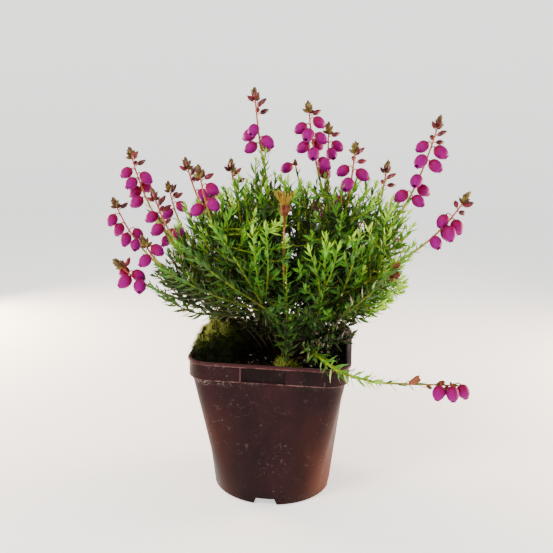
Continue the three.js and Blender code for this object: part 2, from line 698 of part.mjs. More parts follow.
for (const plan of sprayPlans) {
  plan.sprayOwner = "flower_spray_" + plan.name;
  const first = plan.flowers.length ? Math.min(...plan.flowers.map(([drop]) => drop)) : plan.spray.getLength();
  const head = Math.min(spray.head, first - 1);
  plan.budPairs = Math.max(0, Math.min(spray.budPairs, Math.floor((first - head) / spray.budStep)));
  const { line, firstTurned } = stepsAlong(plan.spray, {
    bareStep: spray.bareStep, shortStep: spray.budStep, pairs: plan.budPairs, rest: head, start: clearance,
  });
  const radii = tapered(line, spray.baseRadius, spray.tipRadius);
  line.push(plan.spray.getPointAt(1 - (head * 0.55) / plan.spray.getLength()));
  radii.push((spray.headRadius * head) / spray.head);
  plan.rachis = new GrownStem(line, radii, { tip: plan.spray.v2, firstTurned, firstWay: plan.endWay });
  take(plan.sprayOwner, plan.name, [...line, plan.spray.v2], spray.baseRadius);
}

for (const plan of sprayPlans) {
  const roll = dice(303 + plan.flowers.length);
  plan.blooms = plan.flowers.map(([drop, side]) => {
    const { shape, line, radius } = settleFlower(plan, drop, side, 0.94 + 0.12 * roll());
    take(plan.sprayOwner, plan.name + drop, line, radius);
    return flowerSolid(shape);
  });
}

for (const plan of sprayPlans) {
  const roll = dice(505 + plan.flowers.length);
  for (let i = 0; i < plan.budPairs * 2; i++) {
    const share = i / (plan.budPairs * 2);
    const angle = 74 - 34 * share;
    const size = 1.05 - 0.35 * share + 0.1 * roll();
    const angles = [angle, angle - 15, angle + 15];
    raiseBud(plan.rachis, i, { owner: plan.sprayOwner, part: plan.name, size, angles });
  }
}

// The withered head: a neck, a cup and the dry stalks that stand out of it

function makeWitheredHead(base) {
  const { neck, cup, cupRadius, stalks, stalkLength, stalkRadius } = witheredHead;
  const at = (height) => base.clone().addScaledVector(up, height);
  const line = [at(clearance), at(neck), at(neck + cup * 0.55), at(neck + cup)];
  const radii = [spray.baseRadius, spray.baseRadius, cupRadius, cupRadius * 0.8];
  const roll = dice(77);
  const solids = [new GrownStem(line, radii).solid()];
  for (let i = 0; i < stalks; i++) {
    const a = radians(i * goldenAngle);
    const lean = 0.55 * Math.sqrt((i + 0.5) / stalks);
    const foot = at(neck + cup * 0.7).add(V(Math.cos(a), Math.sin(a), 0).multiplyScalar(cupRadius * 0.3));
    const way = V(Math.cos(a) * lean, Math.sin(a) * lean, 1).normalize();
    const end = foot.clone().addScaledVector(way, stalkLength * (0.85 + 0.3 * roll()));
    solids.push(new GrownStem([foot, end], [stalkRadius, stalkRadius * 0.6]).solid());
  }
  return fused(solids);
}

const headFoot = plans.find((plan) => plan.name === witheredStem.name).base;
take("withered_head", "withered_head", [headFoot, headFoot.clone().add(V(0, 0, 24))], 3.5);

// Twigs

// Tips spread evenly over the bush by the golden angle, from its top down to its lower edge
function bushTip(number) {
  const height = 1 - ((number + 0.5) / twigs.tips) * (1 - bush.lowest);
  const a = radians(number * goldenAngle);
  const bulge = 2 + bush.shoulder * Math.max(0, Math.cos(a)) * Math.max(0, Math.sign(height));
  const level = (1 - Math.abs(height) ** bulge) ** (1 / bulge);
  const z = bush.z + height * (height > 0 ? bush.rise : bush.drop);
  return V(bush.x + bush.halfWidth * level * Math.cos(a), bush.y + bush.halfDepth * level * Math.sin(a), z);
}

// The stem that passes nearest to a place, and where along it
function nearestStem(place) {
  let best = { gap: Infinity };
  for (const plan of plans.filter((p) => !p.low && !p.over)) {
    for (let t = twigs.lowestStart; t <= 1; t += 0.02) {
      const gap = plan.curve.getPointAt(t).distanceTo(place);
      if (gap < best.gap) best = { gap, plan, t };
    }
  }
  return best;
}

function twigCurve(plan, start, tip) {
  const from = plan.curve.getPointAt(start);
  const reach = from.distanceTo(tip);
  const out = tip.clone().sub(V(bush.x, bush.y, bush.z)).normalize();
  const endWay = out.multiplyScalar(0.6).addScaledVector(up, 0.7).normalize();
  const leaving = from.clone().addScaledVector(plan.curve.getTangentAt(start), reach * 0.3);
  return new THREE.CubicBezierCurve3(from, leaving, tip.clone().addScaledVector(endWay, -reach * 0.35), tip);
}

function growTwig(plan, number, curve) {
  const pairs = twigs.leafPairs;
  const { line, firstTurned } = stepsAlong(curve, { bareStep: 12, shortStep: stem.leafStep, pairs });
  const radii = tapered(line, twigs.radius * 0.8, twigs.radius);
  const way = line.at(-1).clone().sub(line.at(-2)).normalize();
  const tip = line.at(-1).clone().addScaledVector(way, 2.5);
  const grown = new GrownStem(line, radii, { tip, firstTurned });
  take(plan.owner, "twig" + number, [...line, tip], twigs.radius);
  shoots.push({ grown, owner: plan.owner, part: "twig" + number, leafPairs: pairs, roll: dice(707 + number) });
}

for (let number = 0; number < twigs.tips; number++) {
  const tip = bushTip(number);
  const { gap, plan, t } = nearestStem(tip);
  if (gap < twigs.nearestStem) continue;
  let start = t;
  while (start > twigs.lowestStart && plan.curve.getPointAt(start).distanceTo(tip) < twigs.length) start -= 0.01;
  const curve = [0, 0.06, -0.06, 0.12, -0.12]
    .map((shift) => twigCurve(plan, THREE.MathUtils.clamp(start + shift, 0.2, 0.97), tip))
    .find((c) => isClear(plan.owner, c.getPoints(8), twigs.radius, (other) => other.owner === plan.owner));
  if (curve) growTwig(plan, number, curve);
}

for (const shoot of shoots) raiseLeaves(shoot);

// The assembly

const group = new THREE.Group();

function addMesh(name, solid, material) {
  const mesh = new THREE.Mesh(geometryFrom(solid), material.clone());
  mesh.name = name;
  group.add(mesh);
}

addMesh("pot", makePot(), colours.pot);
const holes = wasm.Manifold.union(plans.map((plan) => plan.hole));
addMesh("compost", makeCompost().subtract(holes), colours.compost);
for (const cushion of mossCushions) addMesh(cushion.name, makeMoss(cushion), colours.moss);
for (const plan of plans) {
  const own = shoots.filter((shoot) => shoot.owner === plan.owner).map((shoot) => shoot.grown.solid());
  addMesh(plan.owner, fused(own), colours.leaf);
  if (plan.spray) addMesh(plan.sprayOwner, fused([plan.rachis.solid(), ...plan.blooms]), colours.flower);
}
addMesh("withered_head", makeWitheredHead(headFoot), colours.withered);

export default group;
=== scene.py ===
import math
from bisect import bisect_right

import bmesh
import bpy
from mathutils import Matrix, Quaternion, Vector, noise
from mathutils.geometry import interpolate_bezier


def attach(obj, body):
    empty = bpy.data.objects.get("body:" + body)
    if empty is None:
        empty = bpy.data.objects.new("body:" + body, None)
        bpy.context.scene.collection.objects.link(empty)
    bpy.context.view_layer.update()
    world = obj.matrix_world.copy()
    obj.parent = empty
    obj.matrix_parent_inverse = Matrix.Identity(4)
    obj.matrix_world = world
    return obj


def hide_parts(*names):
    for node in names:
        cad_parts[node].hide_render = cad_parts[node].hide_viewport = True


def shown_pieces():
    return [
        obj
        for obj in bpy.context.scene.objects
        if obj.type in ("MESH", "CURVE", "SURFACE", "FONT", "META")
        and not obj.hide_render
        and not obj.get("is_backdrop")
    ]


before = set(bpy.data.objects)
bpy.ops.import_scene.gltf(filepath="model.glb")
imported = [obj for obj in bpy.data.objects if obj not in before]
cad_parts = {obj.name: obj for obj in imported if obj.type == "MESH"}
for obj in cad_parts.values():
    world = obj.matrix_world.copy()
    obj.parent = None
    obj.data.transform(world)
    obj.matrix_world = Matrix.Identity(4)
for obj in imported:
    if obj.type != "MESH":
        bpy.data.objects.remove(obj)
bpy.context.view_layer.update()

upward = Vector((0, 0, 1))
goldenAngle = 137.5  # from each leaf round its stem to the next


def dice(seed):  # random numbers from 0 to 1, the same on every run
    state = seed

    def roll(low=0.0, high=1.0):
        nonlocal state
        state = state * 16807 % 2147483647
        return low + (high - low) * state / 2147483647

    return roll


def lerp(a, b, share):
    return a + (b - a) * share


def smooth(low, high, value):
    share = min(1.0, max(0.0, (value - low) / (high - low)))
    return share * share * (3 - 2 * share)


# Materials

def colour(code):  # a hex code as linear red, green, blue and alpha
    parts = [int(code[i:i + 2], 16) / 255 for i in (1, 3, 5)]
    return tuple(c / 12.92 if c <= 0.04045 else ((c + 0.055) / 1.055) ** 2.4 for c in parts) + (1.0,)


class Wire:  # a socket that takes part in plain expressions, each of which adds its Math node
    def __init__(self, paint, socket):
        self.paint = paint
        self.socket = socket

    def maths(self, operation, a, b):
        return self.paint.wire(0, "ShaderNodeMath", {"operation": operation}, {0: a, 1: b})

    def __add__(self, other):
        return self.maths("ADD", self, other)

    def __sub__(self, other):
        return self.maths("SUBTRACT", self, other)

    def __rsub__(self, other):
        return self.maths("SUBTRACT", other, self)

    def __mul__(self, other):
        return self.maths("MULTIPLY", self, other)

    def __abs__(self):
        return self.maths("ABSOLUTE", self, 0)

    __radd__ = __add__
    __rmul__ = __mul__


class Paint:  # one material and its nodes
    def __init__(self, name, **surface):
        self.material = bpy.data.materials.new(name)
        self.material.use_nodes = True
        self.tree = self.material.node_tree
        self.shader = self.tree.nodes["Principled BSDF"]
        for words, value in surface.items():
            self.shader.inputs[words.replace("_", " ")].default_value = value

    def feed(self, socket, value):
        if isinstance(value, Wire):
            self.tree.links.new(value.socket, socket)
        else:
            socket.default_value = colour(value) if isinstance(value, str) else value

    def node(self, kind, settings, sockets):
        made = self.tree.nodes.new(kind)
        for name, value in settings.items():
            if name == "stops":
                ramp = made.color_ramp
                while len(ramp.elements) < len(value):
                    ramp.elements.new(0.5)
                for element, (place, code) in zip(ramp.elements, value):
                    element.position = place
                    element.color = colour(code)
            else:
                setattr(made, name, value)
        for name, value in sockets.items():
            self.feed(made.inputs[name], value)
        return made

    def wire(self, output, kind, settings, sockets):  # a new node, as the Wire from one of its outputs
        return Wire(self, self.node(kind, settings, sockets).outputs[output])

    def place(self, scale=(1, 1, 1)):  # where a point is on the piece, in metres, stretched by the scale
        here = self.wire("Object", "ShaderNodeTexCoord", {}, {})
        return self.wire("Vector", "ShaderNodeMapping", {}, {"Vector": here, "Scale": scale})

    def axis(self, letter):
        return self.wire(letter, "ShaderNodeSeparateXYZ", {}, {"Vector": self.place()})

    def attribute(self, name):
        return self.wire("Fac", "ShaderNodeAttribute", {"attribute_name": name}, {})

    def clouds(self, scale, detail=3.0, roughness=0.55, stretch=(1, 1, 1)):
        return self.wire("Fac", "ShaderNodeTexNoise", {}, {"Vector": self.place(stretch), "Scale": scale,
                                                           "Detail": detail, "Roughness": roughness})

    def patches(self, low, high, *cloud):  # clouds made into patches with soft edges
        return self.between(self.clouds(*cloud), low, high)

    def cells(self, scale):
        return self.wire("Distance", "ShaderNodeTexVoronoi", {}, {"Vector": self.place(), "Scale": scale})

    def between(self, value, low, high):  # 0 at low, 1 at high, and level outside
        return self.wire("Result", "ShaderNodeMapRange", {"clamp": True},
                         {"Value": value, "From Min": low, "From Max": high})

    def band(self, value, low, high, edge):  # 1 between low and high, with its edges as wide as edge
        return self.between(value, low, low + edge) * self.between(value, high, high - edge)

    def ramp(self, value, stops):
        return self.wire("Color", "ShaderNodeValToRGB", {"stops": stops}, {"Fac": value})

    def mix(self, share, a, b):
        return self.wire(2, "ShaderNodeMix", {"data_type": "RGBA"}, {0: share, 6: a, 7: b})

    def bump(self, height, strength, distance):
        return self.wire("Normal", "ShaderNodeBump", {},
                         {"Height": height, "Strength": strength, "Distance": distance})

    def finish(self, **links):
        for words, value in links.items():
            self.feed(self.shader.inputs[words.replace("_", " ")], value)
        return self.material


def makePotPlastic(name, dark, middle, light):
    paint = Paint(name, Specular_IOR_Level=0.06)
    broad = paint.clouds(34, 7, 0.66, (1, 1, 0.5))
    z = paint.axis("Z")
    body = paint.ramp(broad, [(0.32, dark), (0.5, middle), (0.68, light)])
    # Painted glow: the body's lower left and right corners are tinted warm orange-brown, standing in for light glowing
    # through and glancing off the sides
    low = paint.between(z, 0.075, 0.0) * paint.between(abs(paint.axis("X")), 0.014, 0.04)
    sides = paint.patches(0.35, 0.65, 38, 4, 0.6, (1, 1, 0.35))
    paintedGlow = paint.mix(low * sides * 0.8, body, "#54280e")
    # Painted highlight: the whole lip is painted lighter, as the light it catches on top
    rim = paint.between(z, 0.0975, 0.0985)
    lipHighlighted = paint.mix(rim * 0.5, paintedGlow, "#4c2b2b")
    # Pale lines along the collar's lower edge and the lip's lower edge, broken up by noise: partly rubbed wear, partly
    # painted highlight on these edges
    wearAndHighlight = paint.patches(0.42, 0.62, 220, 4, 0.7)
    foot = paint.band(z, 0.0872, 0.0887, 0.0005)
    edge = paint.band(z, 0.0977, 0.0987, 0.0003)
    lined = paint.mix((foot + edge) * wearAndHighlight * 0.7, lipHighlighted, "#8c6660")
    ridge = abs(paint.clouds(230, 3, 0.6) - 0.5)
    dusty = paint.patches(0.5, 0.64, 75, 5, 0.65)
    spots = paint.between(ridge, 0.022, 0.004) * paint.patches(0.5, 0.62, 420, 2)
    specks = paint.mix(spots * dusty * 0.3, lined, "#94807c")
    under = paint.between(z, 0.0835, 0.0862) * paint.between(z, 0.0878, 0.0873)
    crust = paint.between(paint.cells(950), 0.42, 0.2) * paint.patches(0.48, 0.6, 90, 3)
    crust = crust * (0.15 + 0.85 * paint.between(paint.axis("X"), 0.006, -0.012))
    limed = paint.mix(under * crust * 0.6, specks, "#b8a49c")
    haze = paint.patches(0.6, 0.85, 170, 6, 0.7)
    final = paint.mix(haze * 0.1, limed, "#7d5f5c")
    relief = paint.bump(paint.clouds(1400, 2) + spots * 0.5 + crust * under, 0.15, 0.0004)
    return paint.finish(Base_Color=final, Roughness=0.36 + 0.2 * broad + 0.12 * haze, Normal=relief)


def makeSoil(name, stops, scale):
    paint = Paint(name, Specular_IOR_Level=0.08)
    body = paint.ramp(paint.clouds(scale, 5, 0.7), stops)
    relief = paint.bump(paint.clouds(scale * 3, 4), 0.6, 0.0005)
    return paint.finish(Base_Color=body, Roughness=0.82 + 0.15 * paint.clouds(scale, 2), Normal=relief)


def makeMossPaint():
    paint = Paint("moss", Specular_IOR_Level=0.1)
    tone = paint.attribute("tone") + 0.5 * paint.clouds(110, 4) - 0.25
    body = paint.ramp(tone, [(0.0, "#090c05"), (0.35, "#28320f"), (0.7, "#6a7722"), (1.0, "#bcc260")])
    return paint.finish(Base_Color=body, Roughness=0.7 + 0.2 * paint.clouds(300, 2))


def makeLeafPaint():
    paint = Paint("leaf", Specular_IOR_Level=0.14, Subsurface_Weight=0.05, Subsurface_Scale=0.0012)
    tone = paint.attribute("tone") + 0.2 * paint.clouds(240, 2) - 0.1
    upper = paint.ramp(tone, [(0.0, "#010603"), (0.25, "#08230f"), (0.5, "#205c1c"), (0.75, "#569e20"),
                              (1.0, "#b4e444")])
    under = paint.between(paint.attribute("under"), 0.25, 0.8)
    pale = paint.mix(0.16, upper, "#7f9a5c")
    body = paint.mix(under * 0.7, upper, pale)
    rib = paint.between(paint.attribute("rib"), 0.72, 1.0)
    ribbed = paint.mix(rib * 0.2, body, "#8cb040")
    margin = paint.between(paint.attribute("rib"), 0.45, 0.05)
    edged = paint.mix(margin * paint.between(tone, 0.1, 0.6) * 0.4, ribbed, "#9cc02c")
    relief = paint.bump(paint.clouds(2200, 2), 0.15, 0.0003)
    return paint.finish(Base_Color=edged, Roughness=0.36 + 0.2 * paint.clouds(500, 2), Normal=relief)


def makeStemPaint():
    paint = Paint("green_stem", Specular_IOR_Level=0.12)
    young = paint.ramp(paint.clouds(120, 3), [(0.3, "#56700e"), (0.55, "#82941a"), (0.8, "#74521c")])
    # Stems below about 128 mm are near black: woody brown bark, made darker as painted shade under the bush
    woodyAndShaded = paint.ramp(paint.clouds(260, 4), [(0.35, "#0a0603"), (0.65, "#1e1309")])
    dry = paint.ramp(paint.clouds(200, 3), [(0.35, "#8a4a26"), (0.65, "#be8448")])
    height = paint.between(paint.axis("Z"), 0.128, 0.168)
    tone = paint.attribute("tone")
    body = paint.mix(height + paint.between(tone, 0.5, 0.9), woodyAndShaded, young)
    dried = paint.mix(paint.between(tone, 1.2, 1.9), body, dry)
    relief = paint.bump(paint.clouds(900, 3, 0.6, (1, 1, 0.3)), 0.4, 0.0004)
    return paint.finish(Base_Color=dried, Roughness=0.5 + 0.2 * paint.clouds(400, 2), Normal=relief)


def makePetalPaint():
    paint = Paint("petal", Specular_IOR_Level=0.08)
    along = paint.attribute("along") + 0.18 * paint.clouds(260, 2) - 0.09
    body = paint.ramp(along, [(0.0, "#660620"), (0.2, "#820040"), (0.45, "#86006c"), (0.8, "#840078"),
                              (1.0, "#94108a")])
    tone = paint.between(paint.attribute("tone"), 0.0, 1.0)
    deep = paint.mix((1 - tone) * 0.55, body, "#74043c")
    veins = paint.clouds(900, 3, 0.6, (1, 1, 0.25))
    veined = paint.mix(paint.between(veins, 0.52, 0.7) * 0.3, deep, "#6c0058")
    return paint.finish(Base_Color=veined, Roughness=0.4 + 0.14 * veins, Normal=paint.bump(veins, 0.25, 0.0003))


def makeStalkPaint():  # reddish above, and yellow-green where a spray leaves the leaves
    paint = Paint("spray_stalk", Specular_IOR_Level=0.3)
    red = paint.ramp(paint.clouds(130, 3), [(0.3, "#6e1c10"), (0.5, "#a03c1a"), (0.75, "#7c4c1c")])
    olive = paint.ramp(paint.clouds(160, 3), [(0.3, "#6c7414"), (0.7, "#96941e")])
    body = paint.mix(paint.between(paint.attribute("tone"), 0.12, 0.55), olive, red)
    return paint.finish(Base_Color=body, Roughness=0.42 + 0.2 * paint.clouds(400, 2))


def makeSpeckled(name, stops, scale, roughness, **surface):
    paint = Paint(name, **surface)
    grain = paint.clouds(scale, 4, 0.6)
    body = paint.ramp(grain * 0.6 + paint.attribute("tone") * 0.4, stops)
    relief = paint.bump(paint.clouds(scale * 5, 3), 0.3, 0.0003)
    return paint.finish(Base_Color=body, Roughness=roughness + 0.2 * grain, Normal=relief)


paints = {
    "pot": makePotPlastic("pot_plastic", "#13090a", "#1e0d0f", "#2a1316"),
    # The label slot's recess is painted darker, as painted shade inside it
    "potShade": makePotPlastic("slot_painted_shade", "#0a0505", "#100808", "#170b0b"),
    # Only the left rib of the label slot is painted lighter, as a painted highlight where it catches the light
    "potRibHighlight": makePotPlastic("rib_painted_highlight", "#361d1e", "#482829", "#583435"),
    "soil": makeSoil("soil", [(0.3, "#070504"), (0.55, "#15100c"), (0.8, "#2e241b")], 420),
    "grit": makeSoil("pale_grit", [(0.3, "#8f8168"), (0.6, "#c9bd9e"), (0.85, "#e6dec6")], 700),
    "bark": makeSoil("bark_bits", [(0.3, "#22130d"), (0.6, "#4a281a"), (0.85, "#7a4a2c")], 500),
    "moss": makeMossPaint(),
    "leaf": makeLeafPaint(),
    "stem": makeStemPaint(),
    "petal": makePetalPaint(),
    "stalk": makeStalkPaint(),
    "bud": makeSpeckled("wine_bud", [(0.2, "#2a040a"), (0.5, "#560a1c"), (0.85, "#801430")], 320, 0.34,
                        Specular_IOR_Level=0.35),
    "tuft": makeSpeckled("bud_tuft", [(0.2, "#2e120a"), (0.45, "#4c2c12"), (0.8, "#766c24")], 260, 0.5,
                         Specular_IOR_Level=0.3),
    "dry": makeSpeckled("dry_cup", [(0.25, "#34140c"), (0.5, "#68341e"), (0.85, "#96603c")], 300, 0.7,
                        Specular_IOR_Level=0.2),
    "straw": makeSpeckled("dry_stalks", [(0.25, "#5c400e"), (0.5, "#967020"), (0.85, "#c8a03c")], 300, 0.65,
                          Specular_IOR_Level=0.2),
}
print("materials:", len(paints))

# Making meshes

def newest(geometry, kind):
    return [g for g in geometry if isinstance(g, kind)]


def drawnOut(rings, sides, tip=None):  # a polygon drawn out through rings, each placed by a matrix
    bm = bmesh.new()
    bmesh.ops.create_circle(bm, cap_ends=True, segments=sides, radius=1, matrix=rings[0])
    cap = bm.faces[:][0]
    for before, ring in zip(rings, rings[1:]):
        cap = newest(bmesh.ops.extrude_face_region(bm, geom=[cap])["geom"], bmesh.types.BMFace)[0]
        bmesh.ops.transform(bm, matrix=ring @ before.inverted(), verts=cap.verts[:])
    if tip:
        bmesh.ops.pointmerge(bm, verts=cap.verts[:], merge_co=tip)
    bmesh.ops.recalc_face_normals(bm, faces=bm.faces[:])
    return bm


def ringAt(z, across, deep, y=0.0, lean=0.0):  # places a polygon's ring at a height, leaning towards +Y
    return (Matrix.Translation((0, y, z)) @ Matrix.Rotation(-lean, 4, "X")
            @ Matrix.Diagonal((across, deep, 1, 1)))


def marked(bm, **marks):  # a template mesh with a named value at each vertex, from its place
    mesh = bpy.data.meshes.new("template")
    layers = {name: bm.verts.layers.float.new(name) for name in ("tone", *marks)}
    for vert in bm.verts:
        for name, rule in marks.items():
            vert[layers[name]] = rule(vert.co)
    bm.to_mesh(mesh)
    bm.free()
    return mesh


def blank(*layers):  # an empty piece, with a named value for each vertex to come
    bm = bmesh.new()
    for name in layers:
        bm.verts.layers.float.new(name)
    return bm


def stamp(bm, template, matrix, tone=0.5, material=0):  # adds a template to a piece, placed and toned
    part = template.copy()
    part.transform(matrix)
    if matrix.determinant() < 0:
        part.flip_normals()
    part.attributes["tone"].data.foreach_set("value", [tone] * len(part.vertices))
    part.polygons.foreach_set("material_index", [material] * len(part.polygons))
    bm.from_mesh(part)
    bpy.data.meshes.remove(part)


def frameOf(place, way, above, size=1.0):  # a matrix whose Z runs along way and whose Y looks towards above
    across = above.cross(way).normalized()
    turned = Matrix((across, way.cross(across), way)).transposed().to_4x4()
    return Matrix.Translation(place) @ turned @ Matrix.Scale(size, 4)


def tubes(bm, lines, material=0, sides=1, tone=0.0):  # round stems along lines, each of (points, radii)
    curve = bpy.data.curves.new("stems", "CURVE")
    curve.dimensions = "3D"
    curve.bevel_depth = 1
    curve.bevel_resolution = sides
    curve.use_fill_caps = True
    for points, radii in lines:
        spline = curve.splines.new("POLY")
        spline.points.add(len(points) - 1)
        for knot, point, radius in zip(spline.points, points, radii):
            knot.co = (*point, 1)
            knot.radius = radius
    thing = bpy.data.objects.new("stems", curve)
    mesh = bpy.data.meshes.new_from_object(thing)
    bpy.data.objects.remove(thing)
    bpy.data.curves.remove(curve)
    values = mesh.attributes.new("tone", "FLOAT", "POINT")
    values.data.foreach_set("value", [tone(v.co) if callable(tone) else tone for v in mesh.vertices])
    mesh.polygons.foreach_set("material_index", [material] * len(mesh.polygons))
    bm.from_mesh(mesh)
    bpy.data.meshes.remove(mesh)


def meshPiece(name, bm, materials, nodes=(), sharp=40):
    mesh = bpy.data.meshes.new(name)
    bm.to_mesh(mesh)
    bm.free()
    mesh.transform(Matrix.Scale(0.001, 4))
    for material in materials:
        mesh.materials.append(paints[material])
    mesh.shade_smooth()
    mesh.set_sharp_from_angle(angle=math.radians(sharp))
    piece = bpy.data.objects.new(name, mesh)
    bpy.context.scene.collection.objects.link(piece)
    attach(piece, "root")
    if nodes:
        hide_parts(*nodes)
    return piece


# The pot

pot = {
    "topWidth": 105, "cornerRadius": 14, "height": 100, "baseRadius": 40.2, "wall": 1.5,
    "lipReach": 1.2, "lipHeight": 2, "lipRound": 0.5, "bandHeight": 10.5, "bandReach": 1.8, "bandRound": 0.5,
    "floorUnder": 5, "floorTop": 6.6, "ringWidth": 2.2,
    "notchWidth": 15.4, "notchTopWidth": 12, "notchHeight": 4.7,
    "drainRadius": 3.5, "drainReach": 27, "sides": 160,
}
labelSlot = {"width": 28, "height": 8.6, "x": -1.5, "z": 93.1, "depth": 0.8, "ridge": 1.2, "proud": 0.5}
bodyTop = pot["height"] - pot["lipHeight"] - pot["bandHeight"]
bandHalf = pot["topWidth"] / 2 - pot["lipReach"]
bodyHalf = bandHalf - pot["bandReach"]
shoulder = bodyTop - 1


def squareReach(angle, half, corner):  # how far a rounded square's edge is from its middle
    long, short = sorted((abs(math.cos(angle)), abs(math.sin(angle))), reverse=True)
    straight = half - corner
    if half / long * short <= straight:
        return half / long
    total = long + short
    return straight * total + math.sqrt(corner ** 2 - straight ** 2 * (2 - total ** 2))


def bodyReach(angle, z, inset):  # round at the base, and the rounded square on top
    square = squareReach(angle, bodyHalf - inset, pot["cornerRadius"] - inset)
    return lerp(pot["baseRadius"] - inset, square, z / bodyTop)


def insideReach(angle, z):
    inner = pot["cornerRadius"] - pot["wall"]
    atShoulder = squareReach(angle, bodyHalf - pot["wall"], inner)
    atRim = squareReach(angle, bandHalf - pot["wall"], inner)
    narrowed = (pot["baseRadius"] - pot["wall"] - atShoulder) * (bodyTop - shoulder) / bodyTop
    return lerp(atShoulder + narrowed, atRim, (z - shoulder) / (pot["height"] - shoulder))


def loft(rings, sides):  # a closed shape over rings, each a rule that gives reach and height for an angle
    bm = bmesh.new()
    bmesh.ops.create_circle(bm, segments=sides, radius=1)
    verts, edges = bm.verts[:], bm.edges[:]
    first = edges
    for number, ring in enumerate(rings):
        if number:
            grown = bmesh.ops.extrude_edge_only(bm, edges=edges)["geom"]
            verts = newest(grown, bmesh.types.BMVert)
            edges = [e for e in newest(grown, bmesh.types.BMEdge) if all(v in verts for v in e.verts)]
        for vert in verts:
            angle = math.atan2(vert.co.y, vert.co.x)
            reach, z = ring(angle)
            vert.co = (math.cos(angle) * reach, math.sin(angle) * reach, z)
    for loop in (first, edges):
        bmesh.ops.contextual_create(bm, geom=loop)
    bmesh.ops.recalc_face_normals(bm, faces=bm.faces[:])
    return bm


def makePot():
    lipFoot = pot["height"] - pot["lipHeight"]
    half, corner, lipRound = pot["topWidth"] / 2, pot["cornerRadius"], pot["lipRound"]
    base, top = pot["baseRadius"], pot["height"]
    square = lambda reach, round_, z: lambda a: (squareReach(a, reach, round_), z)
    rings = [
        lambda a: (base - pot["ringWidth"] - 0.6, pot["floorUnder"]),
        lambda a: (base - pot["ringWidth"], 0.3),
        lambda a: (base - pot["ringWidth"] + 0.3, 0),
        lambda a: (base - 0.9, 0),
        lambda a: (bodyReach(a, 0, 0.5), 0.25),
        *[lambda a, z=z: (bodyReach(a, z, 0.0), z) for z in (0.9, 8, 20, 34, 48, 62, 74, 82, bodyTop - 0.3)],
        lambda a: (squareReach(a, bodyHalf + 0.15, corner), bodyTop),
        square(bandHalf - pot["bandRound"], corner + 0.6, bodyTop + 0.35),
        square(bandHalf - 0.12, corner + 1, bodyTop + 0.55),
        square(bandHalf, corner + 1, bodyTop + 0.9),
        square(bandHalf, corner + 1, lipFoot - 0.2),
        square(bandHalf + 0.15, corner + 1, lipFoot),
        square(half - 0.35, corner + 1.8, lipFoot + 0.12),
        square(half, corner + 2, lipFoot + 0.55),
        square(half, corner + 2, top - lipRound * 1.3),
        square(half - 0.2, corner + 2, top - lipRound * 0.45),
        square(half - lipRound, corner + 1.9, top),
        square(bandHalf - pot["wall"] + 0.5, corner - 0.6, top),
        lambda a: (insideReach(a, top - 0.5), top - 0.5),
        lambda a: (insideReach(a, 93), 93),
        lambda a: (insideReach(a, shoulder), shoulder),
        lambda a: (bodyReach(a, 48, pot["wall"]), 48),
        lambda a: (bodyReach(a, pot["floorTop"] + 1, pot["wall"]), pot["floorTop"] + 1),
        lambda a: (bodyReach(a, pot["floorTop"], pot["wall"] + 1), pot["floorTop"]),
    ]
    body = meshPiece("pot_shell", loft(rings, pot["sides"]), ["pot", "potShade", "potRibHighlight"],
                     ["pot"])
    slot = labelSlot
    ridges = bmesh.new()
    for side in (-1, 1):
        place = Vector((slot["x"] + side * (slot["width"] + slot["ridge"]) / 2, -bandHalf, slot["z"] + 0.4))
        size = Matrix.Diagonal((slot["ridge"], slot["proud"] * 2, slot["height"] + 1, 1))
        bmesh.ops.create_cube(ridges, size=1, matrix=Matrix.Translation(place) @ size)
    cuts = bmesh.new()
    slotSize = Matrix.Diagonal((slot["width"], slot["depth"] * 2, slot["height"], 1))
    bmesh.ops.create_cube(cuts, size=1, matrix=Matrix.Translation((slot["x"], -bandHalf, slot["z"])) @ slotSize)
    for quarter in range(4):
        turn = Matrix.Rotation(quarter * math.pi / 2, 4, "Z")
        made = bmesh.ops.create_cube(cuts, size=1, matrix=turn @ Matrix.Translation((0, -base + 2, 1.85))
                                     @ Matrix.Diagonal((1, 8, pot["notchHeight"] + 1, 1)))["verts"]
        for vert in made:
            wide = pot["notchTopWidth"] if vert.co.z > 2 else pot["notchWidth"] + 1
            local = turn.inverted() @ vert.co
            vert.co = turn @ Vector((math.copysign(wide / 2, local.x), local.y, local.z))
        bmesh.ops.create_cone(cuts, cap_ends=True, segments=24, radius1=pot["drainRadius"],
                              radius2=pot["drainRadius"], depth=6,
                              matrix=turn @ Matrix.Translation((0, -pot["drainReach"], pot["floorTop"] - 1)))
    for bm, operation in ((ridges, "UNION"), (cuts, "DIFFERENCE")):
        mesh = bpy.data.meshes.new("cutter")
        bmesh.ops.bevel(bm, geom=bm.edges[:], offset=0.15, segments=2, profile=0.5, affect="EDGES", material=-1)
        bm.to_mesh(mesh)
        bm.free()
        mesh.transform(Matrix.Scale(0.001, 4))
        cutter = bpy.data.objects.new("cutter", mesh)
        bpy.context.scene.collection.objects.link(cutter)
        modifier = body.modifiers.new(operation.lower(), "BOOLEAN")
        modifier.operation = operation
        modifier.solver = "EXACT"
        modifier.object = cutter
        bpy.context.view_layer.objects.active = body
        bpy.ops.object.modifier_apply(modifier=modifier.name)
        bpy.data.objects.remove(cutter)
    # Faces of the label slot's recess take the darker plastic (painted shade), and those of its left rib the lighter
    # plastic (painted highlight)
    for face in body.data.polygons:
        place = face.center * 1000 - Vector((slot["x"], -bandHalf, slot["z"]))
        if abs(place.z) < slot["height"] / 2 + 1 and abs(place.x) < slot["width"] / 2 + slot["ridge"] + 0.2:
            if place.y > slot["depth"] * 0.9 and place.y < slot["depth"] * 1.1:
                face.material_index = 1
            elif place.x < -slot["width"] / 2 and place.y < -0.1:
                face.material_index = 2
    body.data.shade_smooth()
    body.data.set_sharp_from_angle(angle=math.radians(32))


makePot()
print("pot")

# The compost

